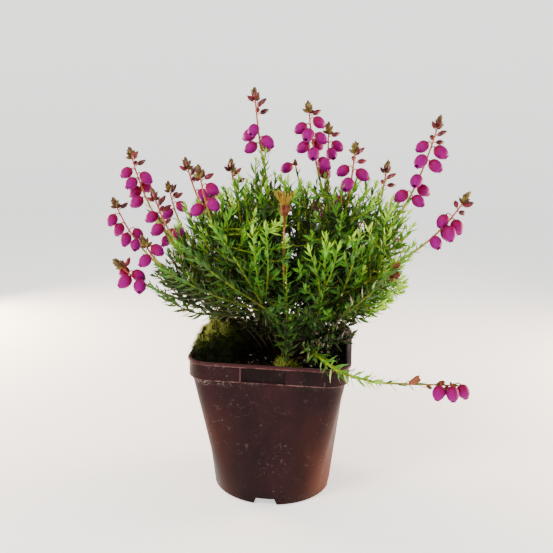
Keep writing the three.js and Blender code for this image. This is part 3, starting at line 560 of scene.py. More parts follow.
compost = {"level": 91.5, "edgeLevel": 92.5, "clearance": 0.3, "rings": 26, "sides": 150, "crumble": 1.1,
           "crumbs": 1500, "grit": 300, "bark": 110, "slivers": 26, "strewn": 0.97}
crown = {"x": 3, "y": 4, "innerRadius": 4, "outerRadius": 16}  # the stems rise round this place


def compostLevel(x, y):
    rough = smooth(20, 34, math.hypot(x - crown["x"], y - crown["y"]))
    bump = 0.8 * math.sin(x / 5.5 + 1) * math.cos(y / 4.7) + 0.4 * math.sin(y / 3.1 + x / 9)
    out = min(1.0, max(abs(x), abs(y)) / bodyHalf)
    fine = compost["crumble"] * noise.fractal(Vector((x, y, 0)) * 0.32, 0.8, 2.1, 4)
    return lerp(compost["level"], compost["edgeLevel"], out) + rough * bump + fine


def makeCompost():
    gap, wall = compost["clearance"], pot["wall"]

    def surface(share):
        def ring(a):
            reach = (insideReach(a, compost["level"]) - gap) * share
            return reach, compostLevel(math.cos(a) * reach, math.sin(a) * reach)
        return ring

    rings = [
        lambda a: (bodyReach(a, pot["floorTop"] + gap, wall + gap), pot["floorTop"] + gap),
        lambda a: (insideReach(a, shoulder) - gap, shoulder),
        *[surface(math.sqrt(1 - i / compost["rings"])) for i in range(compost["rings"])],
        surface(0.03),
    ]
    meshPiece("compost_bed", loft(rings, compost["sides"]), ["soil"], ["compost"], sharp=80)


def makeLump(seed, flat):
    bm = bmesh.new()
    bmesh.ops.create_icosphere(bm, subdivisions=1, radius=1)
    for vert in bm.verts:
        vert.co *= 1 + 0.45 * noise.noise(vert.co * 1.3 + Vector((seed * 7.1, 0, 0)))
        vert.co.z *= flat
    return marked(bm)


def scatter(name, material, count, low, high, flat, seed, stretch=1.0):
    roll = dice(seed)
    lumps = [makeLump(seed + i, flat) for i in range(6)]
    bm = bmesh.new()
    for _ in range(count):
        a = roll(0, 2 * math.pi)
        share = math.sqrt(roll()) * compost["strewn"]
        reach = insideReach(a, compost["level"]) * share - 1
        x, y = math.cos(a) * reach, math.sin(a) * reach
        size = lerp(low, high, roll() ** 2.5)
        spot = Vector((x, y, compostLevel(x, y) + size * 0.25 * flat))
        turn = Quaternion((0, 0, 1), roll(0, 6.3)) @ Quaternion((1, 0, 0), roll(-0.5, 0.5))
        shape = (Matrix.Translation(spot) @ turn.to_matrix().to_4x4()
                 @ Matrix.Diagonal((size * stretch, size, size, 1)))
        stamp(bm, lumps[int(roll() * 5.99)], shape, roll())
    meshPiece(name, bm, [material], sharp=50)


makeCompost()
scatter("compost_crumbs", "soil", compost["crumbs"], 0.5, 2.2, 0.8, 11)
scatter("pale_grit", "grit", compost["grit"], 0.35, 1.1, 0.8, 23)
scatter("bark_bits", "bark", compost["bark"], 0.8, 2.4, 0.35, 37, 1.8)
scatter("straw_slivers", "straw", compost["slivers"], 0.22, 0.4, 0.6, 53, 5.0)
print("compost")

# Moss: mounds that lie on the compost, grown over with small leafy sprigs

mossCushions = [
    {"name": "cushion", "node": "moss_cushion", "x": -33, "y": 1, "halfWidth": 14.6, "halfLength": 41,
     "rise": 30, "sprigs": 1900, "size": (0.9, 1.8), "tone": (0.05, 2.6), "darkFront": (-32, -6),
     "darkRight": (-10, -34)},
    {"name": "ridge", "x": -46, "y": -7, "halfWidth": 7, "halfLength": 37, "rise": 19, "overRim": 100.3,
     "sprigs": 700, "size": (0.8, 1.6), "tone": (0.0, 1.8), "darkFront": (-46, -10)},
    {"name": "tuft", "node": "moss_tuft", "x": 14, "y": -42.5, "halfWidth": 7, "halfLength": 4, "rise": 11,
     "sprigs": 130, "size": (1.2, 2.5), "tone": (0.45, 1.1)},
]
sprig = {"leaves": 5, "length": 2.6, "spread": 48, "rows": 12, "around": 48}


def makeSprig():
    leaf = marked(drawnOut([ringAt(0, 0.14, 0.1), ringAt(0.45, 0.36, 0.12, 0.05)], 3, Vector((0, 0.35, 1))))
    bm = bmesh.new()
    for i in range(sprig["leaves"]):
        turn = Matrix.Rotation(math.radians(goldenAngle * i), 4, "Z")
        opened = Matrix.Rotation(-math.radians(sprig["spread"] * (1 - i / (sprig["leaves"] + 1))), 4, "X")
        step = Matrix.Translation((0, 0, 0.28 * i))
        stamp(bm, leaf, step @ turn @ opened @ Matrix.Diagonal((1, 1, sprig["length"] * (1 - 0.08 * i), 1)))
    return marked(bm)


def mossPoint(cushion, a, lean):  # a place on the mound's skin, lean 0 at its foot and 90 degrees on top
    steep = 0.7 + 0.3 * math.cos(a)  # steep towards the pot's wall, and gentle to the front and the stems
    if "darkFront" in cushion:
        steep += 0.6 * max(0.0, -math.sin(a))
    reach = max(0.0, math.cos(lean)) ** steep * (1 + 0.04 * math.sin(3 * a + 2 * lean))
    slope = 0.72 + (0.1 * math.sin(a) - 0.28 * math.cos(a)) * reach
    x = cushion["x"] + math.cos(a) * reach * cushion["halfWidth"]
    y = cushion["y"] + math.sin(a) * reach * cushion["halfLength"]
    lump = 1 + 0.3 * noise.noise(Vector((x, y, 0)) * 0.16)
    z = compost["level"] - 0.8 + math.sin(lean) * cushion["rise"] * slope * lump
    if x < 1 - bandHalf:
        z = max(z, cushion.get("overRim", 0))
    return Vector((x, y, z))


def makeMoss(cushion, seed):
    roll = dice(seed)
    centre = Vector((cushion["x"], cushion["y"], compost["level"] + cushion["rise"] * 0.1))
    bm = bmesh.new()
    bmesh.ops.create_uvsphere(bm, u_segments=sprig["around"], v_segments=sprig["rows"] * 2, radius=1)
    bmesh.ops.delete(bm, geom=[v for v in bm.verts if v.co.z < -0.05], context="VERTS")
    rim = [e for e in bm.edges if e.is_boundary]
    bmesh.ops.contextual_create(bm, geom=rim)
    for vert in bm.verts:
        lean = math.asin(max(0.0, min(1.0, vert.co.z)))
        vert.co = mossPoint(cushion, math.atan2(vert.co.y, vert.co.x), lean)
    bmesh.ops.recalc_face_normals(bm, faces=bm.faces[:])
    tone = bm.verts.layers.float.new("tone")
    for vert in bm.verts:
        vert[tone] = 0.12
    template = makeSprig()
    for _ in range(cushion["sprigs"]):
        a, lean = roll(0, 2 * math.pi), math.asin(roll(0.03, 1) ** 0.8)
        spot = mossPoint(cushion, a, lean)
        out = (spot - centre).normalized()
        tilt = (out + Vector((roll(-0.5, 0.5), roll(-0.5, 0.5), roll(0, 0.4)))).normalized()
        side = Vector((roll(-1, 1), roll(-1, 1), roll(-1, 1)))
        lit = roll() * smooth(0.05, 0.6, math.sin(lean)) * (0.62 - 0.38 * math.cos(a))
        if "darkFront" in cushion:
            lit *= smooth(*cushion["darkFront"], spot.y)
        if "darkRight" in cushion:
            lit *= 1 - smooth(*reversed(cushion["darkRight"]), spot.x)
        seat = frameOf(spot - out * 0.6, tilt, side, roll(*cushion["size"]))
        stamp(bm, template, seat, lerp(*cushion["tone"], lit))
    meshPiece("moss_" + cushion["name"] + "_sprigs", bm, ["moss"],
              [cushion["node"]] if "node" in cushion else [])


for number, cushion in enumerate(mossCushions):
    makeMoss(cushion, 61 + number)
print("moss")

# Stems: each leafy stem's bend (turn, spread, reach) is the one that it settled on in the frame, and
# plainBend where none is given. A spray
# goes from its base to its tip, and its flowers are given by how far under the tip their stalks leave, and
# the side that they hang to in degrees: 0 right, 90 back, 180 left and 270 front.

stems = {
    "left_tall": {"base": (-78, -8, 179), "tip": (-103, 5, 230),
     "flowers": [(17, 190), (20, 350), (24, 235), (31, 155), (38, 200), (27, 75)]},
    "left_inner": {"base": (-62, -26, 170), "tip": (-81, -18, 205), "bend": (12, 0.5, 1),
     "flowers": [(19, 185), (28, 200), (31, 385)]},
    "left_far": {"base": (-88, -2, 157), "tip": (-118, 13, 195), "bend": (-12, 0.5, 1),
     "flowers": [(15, 200), (23, 165), (30, 250), (27, 20), (37, 280)]},
    "left_low": {"base": (-76, -32, 141), "tip": (-103, -32, 160),
     "flowers": [(12, 120), (14, 20), (19, 215), (23, 285)]},
    "left_mid": {"base": (-68, -42, 158), "tip": (-80, -46, 178), "bend": (24, 0.5, 1),
     "flowers": [(9, 20), (16, 230)]},
    "left_back": {"base": (-71, 18, 177), "tip": (-81, 22, 207), "bend": (-12, 0.5, 1),
     "flowers": [(17, 0), (22, 230)]},
    "upper_left": {"base": (-44, -18, 187), "tip": (-61, -10, 225), "bend": (36, 0.5, 1),
     "flowers": [(24, 340), (32, 60)]},
    "upper_left_front": {"base": (-36, -40, 185), "tip": (-46, -38, 222), "bend": (50, 0.5, 1),
     "flowers": [(14, 10), (23, -30), (27, 200)]},
    "young_left": {"base": (-31, 8, 204), "tip": (-35, 12, 224)},
    "top_left": {"base": (-9, -8, 219), "tip": (-17, -5, 270), "bend": (50, 0.5, 1),
     "flowers": [(26, 250), (29, 165), (33, 330), (36, 65), (37, 205)]},
    "top_right": {"base": (28, -2, 208), "tip": (17, 0, 263),
     "flowers": [(13, 20), (17, 190), (21, 255), (23, 345), (27, 60), (29, 185), (33, 270), (39, 330),
                 (45, 410)]},
    "top_back": {"base": (31, 20, 216), "tip": (30, 22, 250),
     "flowers": [(15, 0), (20, 295)]},
    "right_inner": {"base": (45, -16, 196), "tip": (49, -6, 238), "bend": (-24, 0.5, 1),
     "flowers": [(18, 180), (20, 350), (26, 250), (38, 185)]},
    "top_small": {"base": (11, 28, 209), "tip": (7, 32, 224),
     "flowers": [(5, 190)]},
    "right_tall": {"base": (80, -10, 195), "tip": (101, -4, 255),
     "flowers": [(19, 190), (22, 350), (28, 230), (31, 340), (41, 250), (48, 20), (52, 180), (55, 330)]},
    "right_low": {"base": (86, -36, 172), "tip": (118, -32, 210),
     "dry": [((73, -50, 163), -35, 0.95, 0.0), ((74, -50, 165), 25, 0.8, 0.1), ((73, -50, 162), -80, 0.7, 0.0)],
     "flowers": [(18, 190), (22, 20), (26, 300), (28, 410), (36, 290)]},
    "young_right": {"base": (67, 24, 195), "tip": (71, 30, 225), "bend": (36, 0.7, 1)},
    "trailing": {"base": (68, -65, 98.2), "tip": (115.5, -60.5, 98),
     "over": [(24, -34, 107), (45.7, -58, 101.4)], "flowers": [(3, 350), (5, 280), (9, 240)],
     "dry": [(29, 38, 1.15, 0.7), (13, 30, 0.75, 0.3), (19, -40, 0.55, 0.2), (7, -95, 0.9, 0.0)]},
    "back_left_low": {"base": (-74, 30, 158), "tip": (-96, 46, 180), "bend": (-24, 0.5, 1),
     "flowers": [(12, 160), (17, 60), (23, 250)]},
    "back_left": {"base": (-46, 48, 172), "tip": (-62, 63, 200), "bend": (-24, 0.5, 1),
     "flowers": [(13, 100), (18, 200), (23, 20)]},
    "back_middle_left": {"base": (-16, 58, 176), "tip": (-24, 71, 203), "bend": (-24, 0.5, 1),
     "flowers": [(11, 90), (17, 190), (22, 345)]},
    "back_middle_right": {"base": (22, 58, 178), "tip": (30, 71, 205), "bend": (65, 0.5, 0.75),
     "flowers": [(12, 60), (17, 150), (23, 300)]},
    "back_right": {"base": (47, 51, 166), "tip": (61, 67, 188), "bend": (0, 0.5, 1.25),
     "flowers": [(12, 30), (17, 130), (23, 280)]},
    "back_right_low": {"base": (64, 34, 156), "tip": (82, 54, 176), "bend": (36, 0.2, 1),
     "flowers": [(13, 340), (18, 90), (23, 185)]},
    "withered": {"base": (10, -62, 188), "bend": (24, 0.5, 1.25), "way": (0.02, -0.15, 1)},
    "low_left": {"base": (-8, -38, 128), "way": (-8 / 60, -38 / 60, 0.9)},
    "low_middle": {"base": (17, -48, 132), "bend": (-12, 0.5, 1), "way": (17 / 60, -48 / 60, 0.9)},
    "low_right": {"base": (40, -44, 124), "bend": (-12, 0.5, 1), "way": (40 / 60, -44 / 60, 0.9)},
}
plainBend = (0, 0.5, 1)
leaderLeaves = {  # how the leaves stand on the stems that show in front
    "trailing": {"tone": 0.76, "step": 1.1, "opening": (74, 62), "shrink": 0.12},
    "withered": {"tone": 0.5, "step": 1.5, "opening": (76, 66), "until": 66},
    # low_left's leaves are near black, as painted shade in the dark hollow under the bush
    "low_left": {"tone": 0.0, "step": 2.0, "opening": (70, 30)},
    "low_middle": {"tone": 0.48, "step": 1.5, "opening": (70, 30)},
    "low_right": {"tone": 0.4, "step": 1.5, "opening": (70, 30)},
}
leader = {"rootRadius": 1.25, "topRadius": 0.7, "rootDepth": 10.7, "bare": 26,
          "bareInside": 44, "leafStep": 2.1}
twig = {"radius": 0.55, "tipRadius": 0.3, "leafStep": 1.55}


class Route:  # a line of points that is read by the millimetre
    def __init__(self, points):
        self.points = points
        self.places = [0.0]
        for a, b in zip(points, points[1:]):
            self.places.append(self.places[-1] + (b - a).length)
        self.length = self.places[-1]

    def at(self, place):
        place = min(max(place, 0.0), self.length)
        i = min(max(bisect_right(self.places, place), 1), len(self.points) - 1)
        a, b = self.places[i - 1], self.places[i]
        return self.points[i - 1].lerp(self.points[i], (place - a) / (b - a))

    def way(self, place):
        place = min(max(place, 0.3), self.length - 0.3)
        return (self.at(place + 0.3) - self.at(place - 0.3)).normalized()

    def spaced(self, count, end=None):  # points at even steps, to its end or to a place before that
        end = self.length if end is None else end
        return [self.at(end * i / count) for i in range(count + 1)]


def taper(first, last, count):
    return [lerp(first, last, i / count) for i in range(count + 1)]


def splay(along, out, angle):  # a way that leans from along towards out, and the one square to it
    return (along * math.cos(angle) + out * math.sin(angle), along * math.sin(angle) - out * math.cos(angle))


def cubic(a, b, c, d):
    return Route(interpolate_bezier(a, b, c, d, 41))


def passing(knots):  # a line through knots that neither loops nor overshoots
    knots = [2 * knots[0] - knots[1], *knots, 2 * knots[-1] - knots[-2]]
    points = []
    for p, q, r, s in zip(knots, knots[1:], knots[2:], knots[3:]):
        gaps = [max(1e-4, (b - a).length ** 0.5) for a, b in ((p, q), (q, r), (r, s))]
        leave = (q - p) / gaps[0] - (r - p) / (gaps[0] + gaps[1]) + (r - q) / gaps[1]
        arrive = (r - q) / gaps[1] - (s - q) / (gaps[1] + gaps[2]) + (s - r) / gaps[2]
        leave, arrive = leave * gaps[1], arrive * gaps[1]
        points += interpolate_bezier(q, q + leave / 3, r - arrive / 3, r, 16)[:15]
    return Route([*points, knots[-2]])


def rootOf(base, turn, share):
    away = Vector((base.x - crown["x"], base.y - crown["y"], 0))
    lean = away.length / math.hypot(away.length, base.z - compost["level"])
    away = Quaternion(upward, math.radians(turn)) @ away.normalized()
    reach = lerp(crown["innerRadius"], crown["outerRadius"], lean ** 2)
    return Vector((crown["x"], crown["y"], compost["level"] + 2)) + away * reach * share


def layStem(stem):
    base = Vector(stem["base"])
    turn, spread, share = stem.get("bend", plainBend)
    root = rootOf(base, turn, share)
    if "tip" in stem:
        tip = Vector(stem["tip"])
        way = tip - base
        bow = base + Vector((0.62 * way.x, 0.62 * way.y, 0.38 * way.z))
        stem["spray"] = cubic(base, base.lerp(bow, 2 / 3), tip.lerp(bow, 2 / 3), tip)
        endWay = (bow - base).normalized()
    else:
        endWay = Vector(stem["way"]).normalized()
    stem["endWay"] = endWay
    if "over" in stem:
        stem["route"] = passing([root, *(Vector(p) for p in stem["over"]), base])
        return
    away = Vector((base.x - root.x, base.y - root.y, 0)).normalized()
    reach = (base - root).length * 0.36
    leaving = root + (away * spread + upward).normalized() * reach
    stem["route"] = cubic(root, leaving, base - endWay * reach, base)


for name, stem in stems.items():
    stem["name"] = name
    layStem(stem)

# Leaves: narrow, arched, dark and glossy above and pale beneath

leafSize = {"length": 8.8, "halfWidth": 1.05, "thick": 0.3}
leafGrowth = {"size": (0.78, 1.12), "footSize": 0.7, "footShade": 0.48, "mottle": 0.09}


def makeLeaf(curl):  # curl bends the blade towards its upper side
    length, half, thick = leafSize["length"], leafSize["halfWidth"], leafSize["thick"]
    outline = [(0.0, 0.28, 1.0), (0.22, 0.8, 0.9), (0.55, 1.0, 0.8), (0.87, 0.74, 0.6)]
    rings = [ringAt(length * t, half * w, thick * d, curl * length * t * t, math.atan(2 * curl * t))
             for t, w, d in outline]
    tip = Vector((0, curl * length, length))
    under = lambda co: 1.0 if co.y < curl * co.z ** 2 / length - 0.1 else 0.0
    rib = lambda co: 1.0 if abs(co.x) < 0.02 else 0.0
    return marked(drawnOut(rings, 4, tip), under=under, rib=rib)


leafTemplates = [makeLeaf(curl) for curl in (0.06, 0.18, 0.3, 0.42)]


def leafyShoot(bm, route, start, step, tone, roll, opening=(64, 36), shrink=0.38, crowned=True,
               lighten=0.3, size=1.0):
    place, number = start, int(roll() * 40)
    along = route.way(start)
    side = along.orthogonal().normalized()
    while place < route.length - 0.6:
        share = (place - start) / max(1.0, route.length - start)
        along = route.way(place)
        side = (side - along * side.dot(along)).normalized()
        out = Quaternion(along, math.radians(goldenAngle * number + roll(-9, 9))) @ side
        angle = math.radians(lerp(*opening, share ** 2.4) + roll(-9, 9))
        way, above = splay(along, out, angle)
        big = size * roll(*leafGrowth["size"]) * (1 - shrink * smooth(0.6, 1.0, share))
        big *= lerp(leafGrowth["footSize"], 1, smooth(0, 0.15, share))
        # Leaves towards each shoot's foot, deep in the bush, are painted darker as painted shade; the tips get lighter
        # young growth
        leafTone = tone * lerp(leafGrowth["footShade"], 1, share) + lighten * smooth(0.55, 1.0, share)
        leafTone += roll(-leafGrowth["mottle"], leafGrowth["mottle"])
        stamp(bm, leafTemplates[int(roll() * 3.99)], frameOf(route.at(place), way, above, big), leafTone)
        place += step * roll(0.85, 1.15) * (1 - 0.35 * smooth(0.7, 1.0, share))
        number += 1
    if crowned:
        for i in range(6):
            out = Quaternion(along, math.radians(goldenAngle * i)) @ side
            angle = math.radians(lerp(24, 4, i / 5))
            way, above = splay(along, out, angle)
            stamp(bm, leafTemplates[2], frameOf(route.at(route.length - 0.8), way, above, 0.5 - 0.05 * i),
                  tone + lighten)


# The bush: shoots whose tips are spread evenly over its outside, and three layers within whose leaves are painted
# darker and less lime at the tips, as painted shade inside the bush

bush = {"x": 4, "y": 0, "z": 148, "halfWidth": 83, "halfDepth": 75, "rise": 67, "drop": 32,
        "shoulder": 2,  # fuller at its upper right than a round bush by this much
        "clearUnder": 147}  # the moss shows under the bush at its front left
layers = [
    {"tips": 330, "scale": 0.95, "lowest": -0.75, "tone": (0.26, 0.8), "leafy": 32, "jitter": 0.05,
     "lighten": 0.36},
    {"tips": 220, "scale": 0.77, "lowest": -0.6, "tone": (0.05, 0.3), "leafy": 30, "jitter": 0.08,
     "lighten": 0.1},
    {"tips": 130, "scale": 0.55, "lowest": -0.4, "tone": (0.0, 0.2), "leafy": 28, "jitter": 0.1,
     "lighten": 0.05},
    {"tips": 50, "scale": 0.33, "lowest": -0.5, "tone": (0.0, 0.12), "leafy": 26, "jitter": 0.1,
     "lighten": 0.0},
]
bearing = {"lowestStart": 0.3, "length": 31, "marks": 36, "firstMark": 11}
# Shoots at the right are painted lighter as painted light on that side, a few others at random are lighter, and those
# low down are painted darker as painted shade, but for the right end
bushTone = {"right": 0.14, "rightFrom": (20, 80), "bright": 0.3, "brightShare": 0.12,
            "low": 0.42, "lowUnder": (142, 188), "litRight": (44, 76)}


def bushTips(layer, roll):
    for number in range(layer["tips"]):
        height = 1 - (number + 0.5) / layer["tips"] * (1 - layer["lowest"])
        a = math.radians(number * goldenAngle + roll(-6, 6))
        bulge = 2 + (bush["shoulder"] * max(0, math.cos(a)) if height > 0 else 0)
        level = (1 - abs(height) ** bulge) ** (1 / bulge)
        scale = layer["scale"] * (1 + roll(-1, 1) * layer["jitter"])
        rise = bush["rise"] if height > 0 else bush["drop"]
        tip = Vector((bush["x"] + bush["halfWidth"] * level * math.cos(a) * scale,
                      bush["y"] + bush["halfDepth"] * level * math.sin(a) * scale,
                      bush["z"] + height * rise * scale))
        if tip.z > bush["clearUnder"] or tip.x > 2 or tip.y > 18:
            yield tip


def nearestStem(tip):
    best = None
    for stem in bearers:
        for share, point in stem["marks"]:
            gap = (point - tip).length
            if best is None or gap < best[0]:
                best = (gap, stem, share)
    return best[1:]


def shootRoute(stem, share, tip):
    route = stem["route"]
    while share > bearing["lowestStart"] and (route.at(share * route.length) - tip).length < bearing["length"]:
        share -= 0.01
    start = route.at(share * route.length)
    reach = (tip - start).length
    out = (tip - Vector((bush["x"], bush["y"], bush["z"]))).normalized()
    endWay = (out * 0.5 + upward * 0.8).normalized()
    return cubic(start, start + route.way(share * route.length) * reach * 0.3, tip - endWay * reach * 0.35, tip)


# Shoots that lie in front of the others and show their whole stems: where each leaves, a place that it
# passes, its tip and its tone
frontShoots = {
    "left_low": [((-16, -40, 128), (-46, -38, 133), (-74, -20, 143), 0.1),
                 ((-12, -46, 132), (-42, -46, 139), (-76, -32, 150), 0.16),
                 ((-18, -30, 128), (-50, -26, 136), (-79, -8, 148), 0.12),
                 ((-6, -54, 134), (-30, -58, 140), (-54, -48, 148), 0.14),
                 ((-14, -56, 132), (-46, -58, 134), (-78, -34, 144), 0.4)],
    "left_mid": [((-8, -52, 136), (-38, -52, 143), (-70, -40, 153), 0.2),
                 ((-4, -62, 138), (-34, -66, 148), (-72, -40, 158), 0.46)],
    "upper_left_front": [((-2, -62, 142), (-16, -66, 166), (-37, -44, 187), 0.5),
                         ((-2, -60, 142), (-5, -68, 164), (-8, -64, 187), 0.72),
                         ((-20, -34, 186), (-22, -30, 198), (-23, -26, 214), 0.6),
                         ((-14, -36, 184), (-17, -31, 196), (-18, -26, 211), 0.6)],
    "left_inner": [((0, -64, 140), (-26, -67, 157), (-61, -30, 172), 0.48),
                   ((-40, -30, 168), (-50, -26, 180), (-58, -21, 194), 0.55),
                   ((-38, -32, 172), (-45, -28, 184), (-50, -24, 197), 0.5)],
    "low_right": [((28, -54, 122), (34, -64, 150), (34, -62, 184), 0.66),
                  ((32, -62, 148), (31, -68, 160), (25, -66, 177), 0.7),
                  ((33, -62, 150), (38, -66, 162), (42, -62, 179), 0.68)],
    "low_left": [((0, -60, 146), (2, -68, 166), (-1, -62, 189), 0.62)],
    "right_low": [((44, -56, 134), (60, -62, 150), (84, -40, 172), 0.5),
                  ((66, -20, 164), (78, -12, 173), (88, -6, 185), 0.7),
                  ((64, -26, 154), (78, -20, 162), (88, -15, 174), 0.66)],
    "right_inner": [((44, -50, 146), (50, -60, 166), (54, -50, 186), 0.6),
                    ((40, -16, 184), (44, -10, 196), (47, -6, 210), 0.68),
                    ((54, -10, 186), (59, -5, 197), (63, -1, 211), 0.7),
                    ((42, -12, 186), (46, -4, 198), (51, 4, 214), 0.7),
                    ((50, -12, 186), (55, -6, 198), (58, 0, 213), 0.72)],
    "withered": [((11, -46, 108), (13, -63, 132), (12, -63, 166), 0.5)],
    "low_middle": [((10, -38, 98), (14, -50, 112), (15, -58, 134), 0.52)],
    "top_left": [((-12, -14, 186), (-10, -12, 206), (-8, -9, 236), 0.7),
                 ((-12, -12, 192), (-14, -12, 206), (-14, -12, 224), 0.66)],
    "top_right": [((8, -34, 184), (9, -28, 198), (8, -23, 214), 0.65),
                  ((16, -34, 182), (16, -28, 196), (16, -23, 212), 0.6)],
    "right_tall": [((64, -8, 182), (71, -2, 192), (79, 4, 203), 0.74),
                   ((62, -12, 178), (72, -8, 190), (80, -5, 203), 0.76),
                   ((66, -16, 172), (76, -12, 182), (84, -8, 193), 0.76),
                   ((66, -14, 176), (75, -7, 186), (83, -1, 197), 0.74)],
}
frontLeaves = {"leafy": 3, "lighten": (0.1, 0.38), "lightFrom": (150, 205), "step": 1.5, "opening": (60, 38),
               "witheredOpening": (76, 60)}
# Round each of the low stems, shoots go to tips this far from its top
lowFan = [(-12, -6, 2), (11, -8, 0), (-6, -12, 8), (13, -4, 8), (0, -10, -3), (2, -6, 16), (-8, 8, 6),
          (8, 10, 2)]
lowShoots = {  # how many each stem has, and their tones
    # low_left's shoots are near black too, as painted shade in the hollow under the bush
    "low_left": (3, (0.0, 0.05)), "low_middle": (8, (0.08, 0.34)), "low_right": (6, (0.05, 0.3)),
}

bearers = [stem for stem in stems.values() if "tip" in stem and "over" not in stem]
for stem in bearers:
    route, steps = stem["route"], bearing["marks"]
    marks = range(bearing["firstMark"], steps + 1)
    stem["marks"] = [(i / steps, route.at(i / steps * route.length)) for i in marks]
roll = dice(9001)
for stem in stems.values():
    stem["shoots"] = []
for layer in layers:
    for tip in bushTips(layer, roll):
        stem, share = nearestStem(tip)
        tone = lerp(*layer["tone"], roll()) + bushTone["right"] * smooth(*bushTone["rightFrom"], tip.x)
        if roll() < bushTone["brightShare"]:
            tone += bushTone["bright"]
        lit = max(smooth(*bushTone["lowUnder"], tip.z), smooth(*bushTone["litRight"], tip.x))
        shaded = lerp(bushTone["low"], 1, lit)
        stem["shoots"].append({"route": shootRoute(stem, share, tip), "tone": tone * shaded,
                               "leafy": layer["leafy"], "lighten": layer["lighten"] * shaded, "step": twig["leafStep"]})
for name, rows in frontShoots.items():
    for start, past, tip, tone in rows:
        route = passing([Vector(start), Vector(past), Vector(tip)])
        lighten = lerp(*frontLeaves["lighten"], smooth(*frontLeaves["lightFrom"], tip[2]))
        stems[name]["shoots"].append({
            "route": route, "tone": tone, "leafy": route.length - frontLeaves["leafy"], "lighten": lighten,
            "step": frontLeaves["step"],
            "opening": frontLeaves["witheredOpening" if name == "withered" else "opening"]})
for name, (count, tones) in lowShoots.items():
    stem = stems[name]
    for offset in lowFan[:count]:
        tip = stem["route"].at(stem["route"].length) + Vector(offset) * roll(0.85, 1.15)
        share = lerp(0.35, 0.8, smooth(-16, 16, offset[2]))
        stem["shoots"].append({"route": shootRoute(stem, share, tip), "tone": roll(*tones), "leafy": 26,
                               "lighten": 0.15, "step": 1.6})
print("shoots:", sum(len(stem["shoots"]) for stem in stems.values()))


def makeLeafyStem(stem, seed):
    roll = dice(seed)
    route = stem["route"]
    bm = blank("tone", "under", "rib")
    foot = route.at(0).copy()
    foot.z = compost["level"] - leader["rootDepth"]
    points = [foot, *route.spaced(24)]
    thin = 0.72 if stem["name"] == "withered" else 1
    radii = [radius * thin for radius in taper(leader["rootRadius"], leader["topRadius"], 25)]
    stemTone = 0.0
    if stem["name"] == "trailing":
        stemTone = lambda co: smooth(12, 40, co.x)
    elif stem["name"] == "withered":
        stemTone = lambda co: 2 * smooth(148, 162, co.z)
    tubes(bm, [(points, radii)], 1, 2, stemTone)
    lines = []
    for shoot in stem["shoots"]:
        line = shoot["route"]
        count = max(6, int(line.length / 4))
        lines.append((line.spaced(count), taper(twig["radius"], twig["tipRadius"], count)))
    if lines:
        tubes(bm, lines, 1, 1)
    leafy = {"tone": 0.42, "step": leader["leafStep"], "opening": (70, 48), "until": route.length,
             **leaderLeaves.get(stem["name"], {})}
    lower = Route(route.spaced(40, leafy["until"]))
    bare = leader["bare" if stem["name"] in leaderLeaves else "bareInside"]
    leafyShoot(bm, lower, bare, leafy["step"], leafy["tone"], roll, leafy["opening"], leafy.get("shrink", 0.5),
               stem["name"].startswith("low"), 0.15)
    if "spray" in stem:  # small leaves go on up the lower part of the spray
        upper = stem["spray"]
        drops = [drop for drop, _ in stem.get("flowers", [])]
        end = upper.length - max(drops) - 2 if drops else upper.length * 0.55
        if end > 6:
            above = Route(upper.spaced(12, end))
            leafyShoot(bm, above, 0.5, 2.2, 0.66, roll, (58, 40), 0.5, False, 0.1, 0.74)
    for shoot in stem["shoots"]:
        line = shoot["route"]
        start = max(2.0, line.length - shoot["leafy"])
        leafyShoot(bm, line, start, shoot["step"], shoot["tone"], roll, shoot.get("opening", (64, 36)),
                   lighten=shoot["lighten"])
        if start > 8:
            older = Route(line.spaced(8, start))
            leafyShoot(bm, older, 4, 3.2, shoot["tone"] * 0.4, roll, (80, 66), 0.5, False, 0)
    meshPiece("foliage_" + stem["name"], bm, ["leaf", "stem"], ["leafy_stem_" + stem["name"]])


for number, stem in enumerate(stems.values()):
    makeLeafyStem(stem, 101 + number)
print("leafy stems:", len(stems))

# Flowers: an urn that nods on a bent stalk, with four short lobes turned back round its mouth

flower = {"stalk": 3.3, "lift": 1.1, "out": 0.6, "down": 0.8, "length": 10.0, "radius": 3.85, "steps": 24,
          "stalkRadius": 0.36, "sideways": 0.26, "calm": -0.14, "calmPast": 100}
bud = {"stalk": 2.2, "stalkRadius": 0.3, "length": 6.6, "radius": 1.6}
spray = {"radius": 0.75, "tipRadius": 0.42, "bareStep": 12, "budStep": 3.6, "head": 8, "budPairs": 3,
         "frameRadius": 0.9, "frameTipRadius": 0.6, "frameHeadRadius": 1.9}


def spun(profile, steps):  # a shape of revolution round Z, from its profile of reach and height
    bm = bmesh.new()
    verts = [bm.verts.new((reach, 0, z)) for reach, z in profile]
    edges = [bm.edges.new(pair) for pair in zip(verts, verts[1:])]
    bmesh.ops.spin(bm, geom=verts + edges, cent=(0, 0, 0), axis=(0, 0, 1), angle=2 * math.pi, steps=steps,
                   use_merge=True)
    bmesh.ops.remove_doubles(bm, verts=bm.verts[:], dist=1e-4)
    bmesh.ops.recalc_face_normals(bm, faces=bm.faces[:])
    return bm


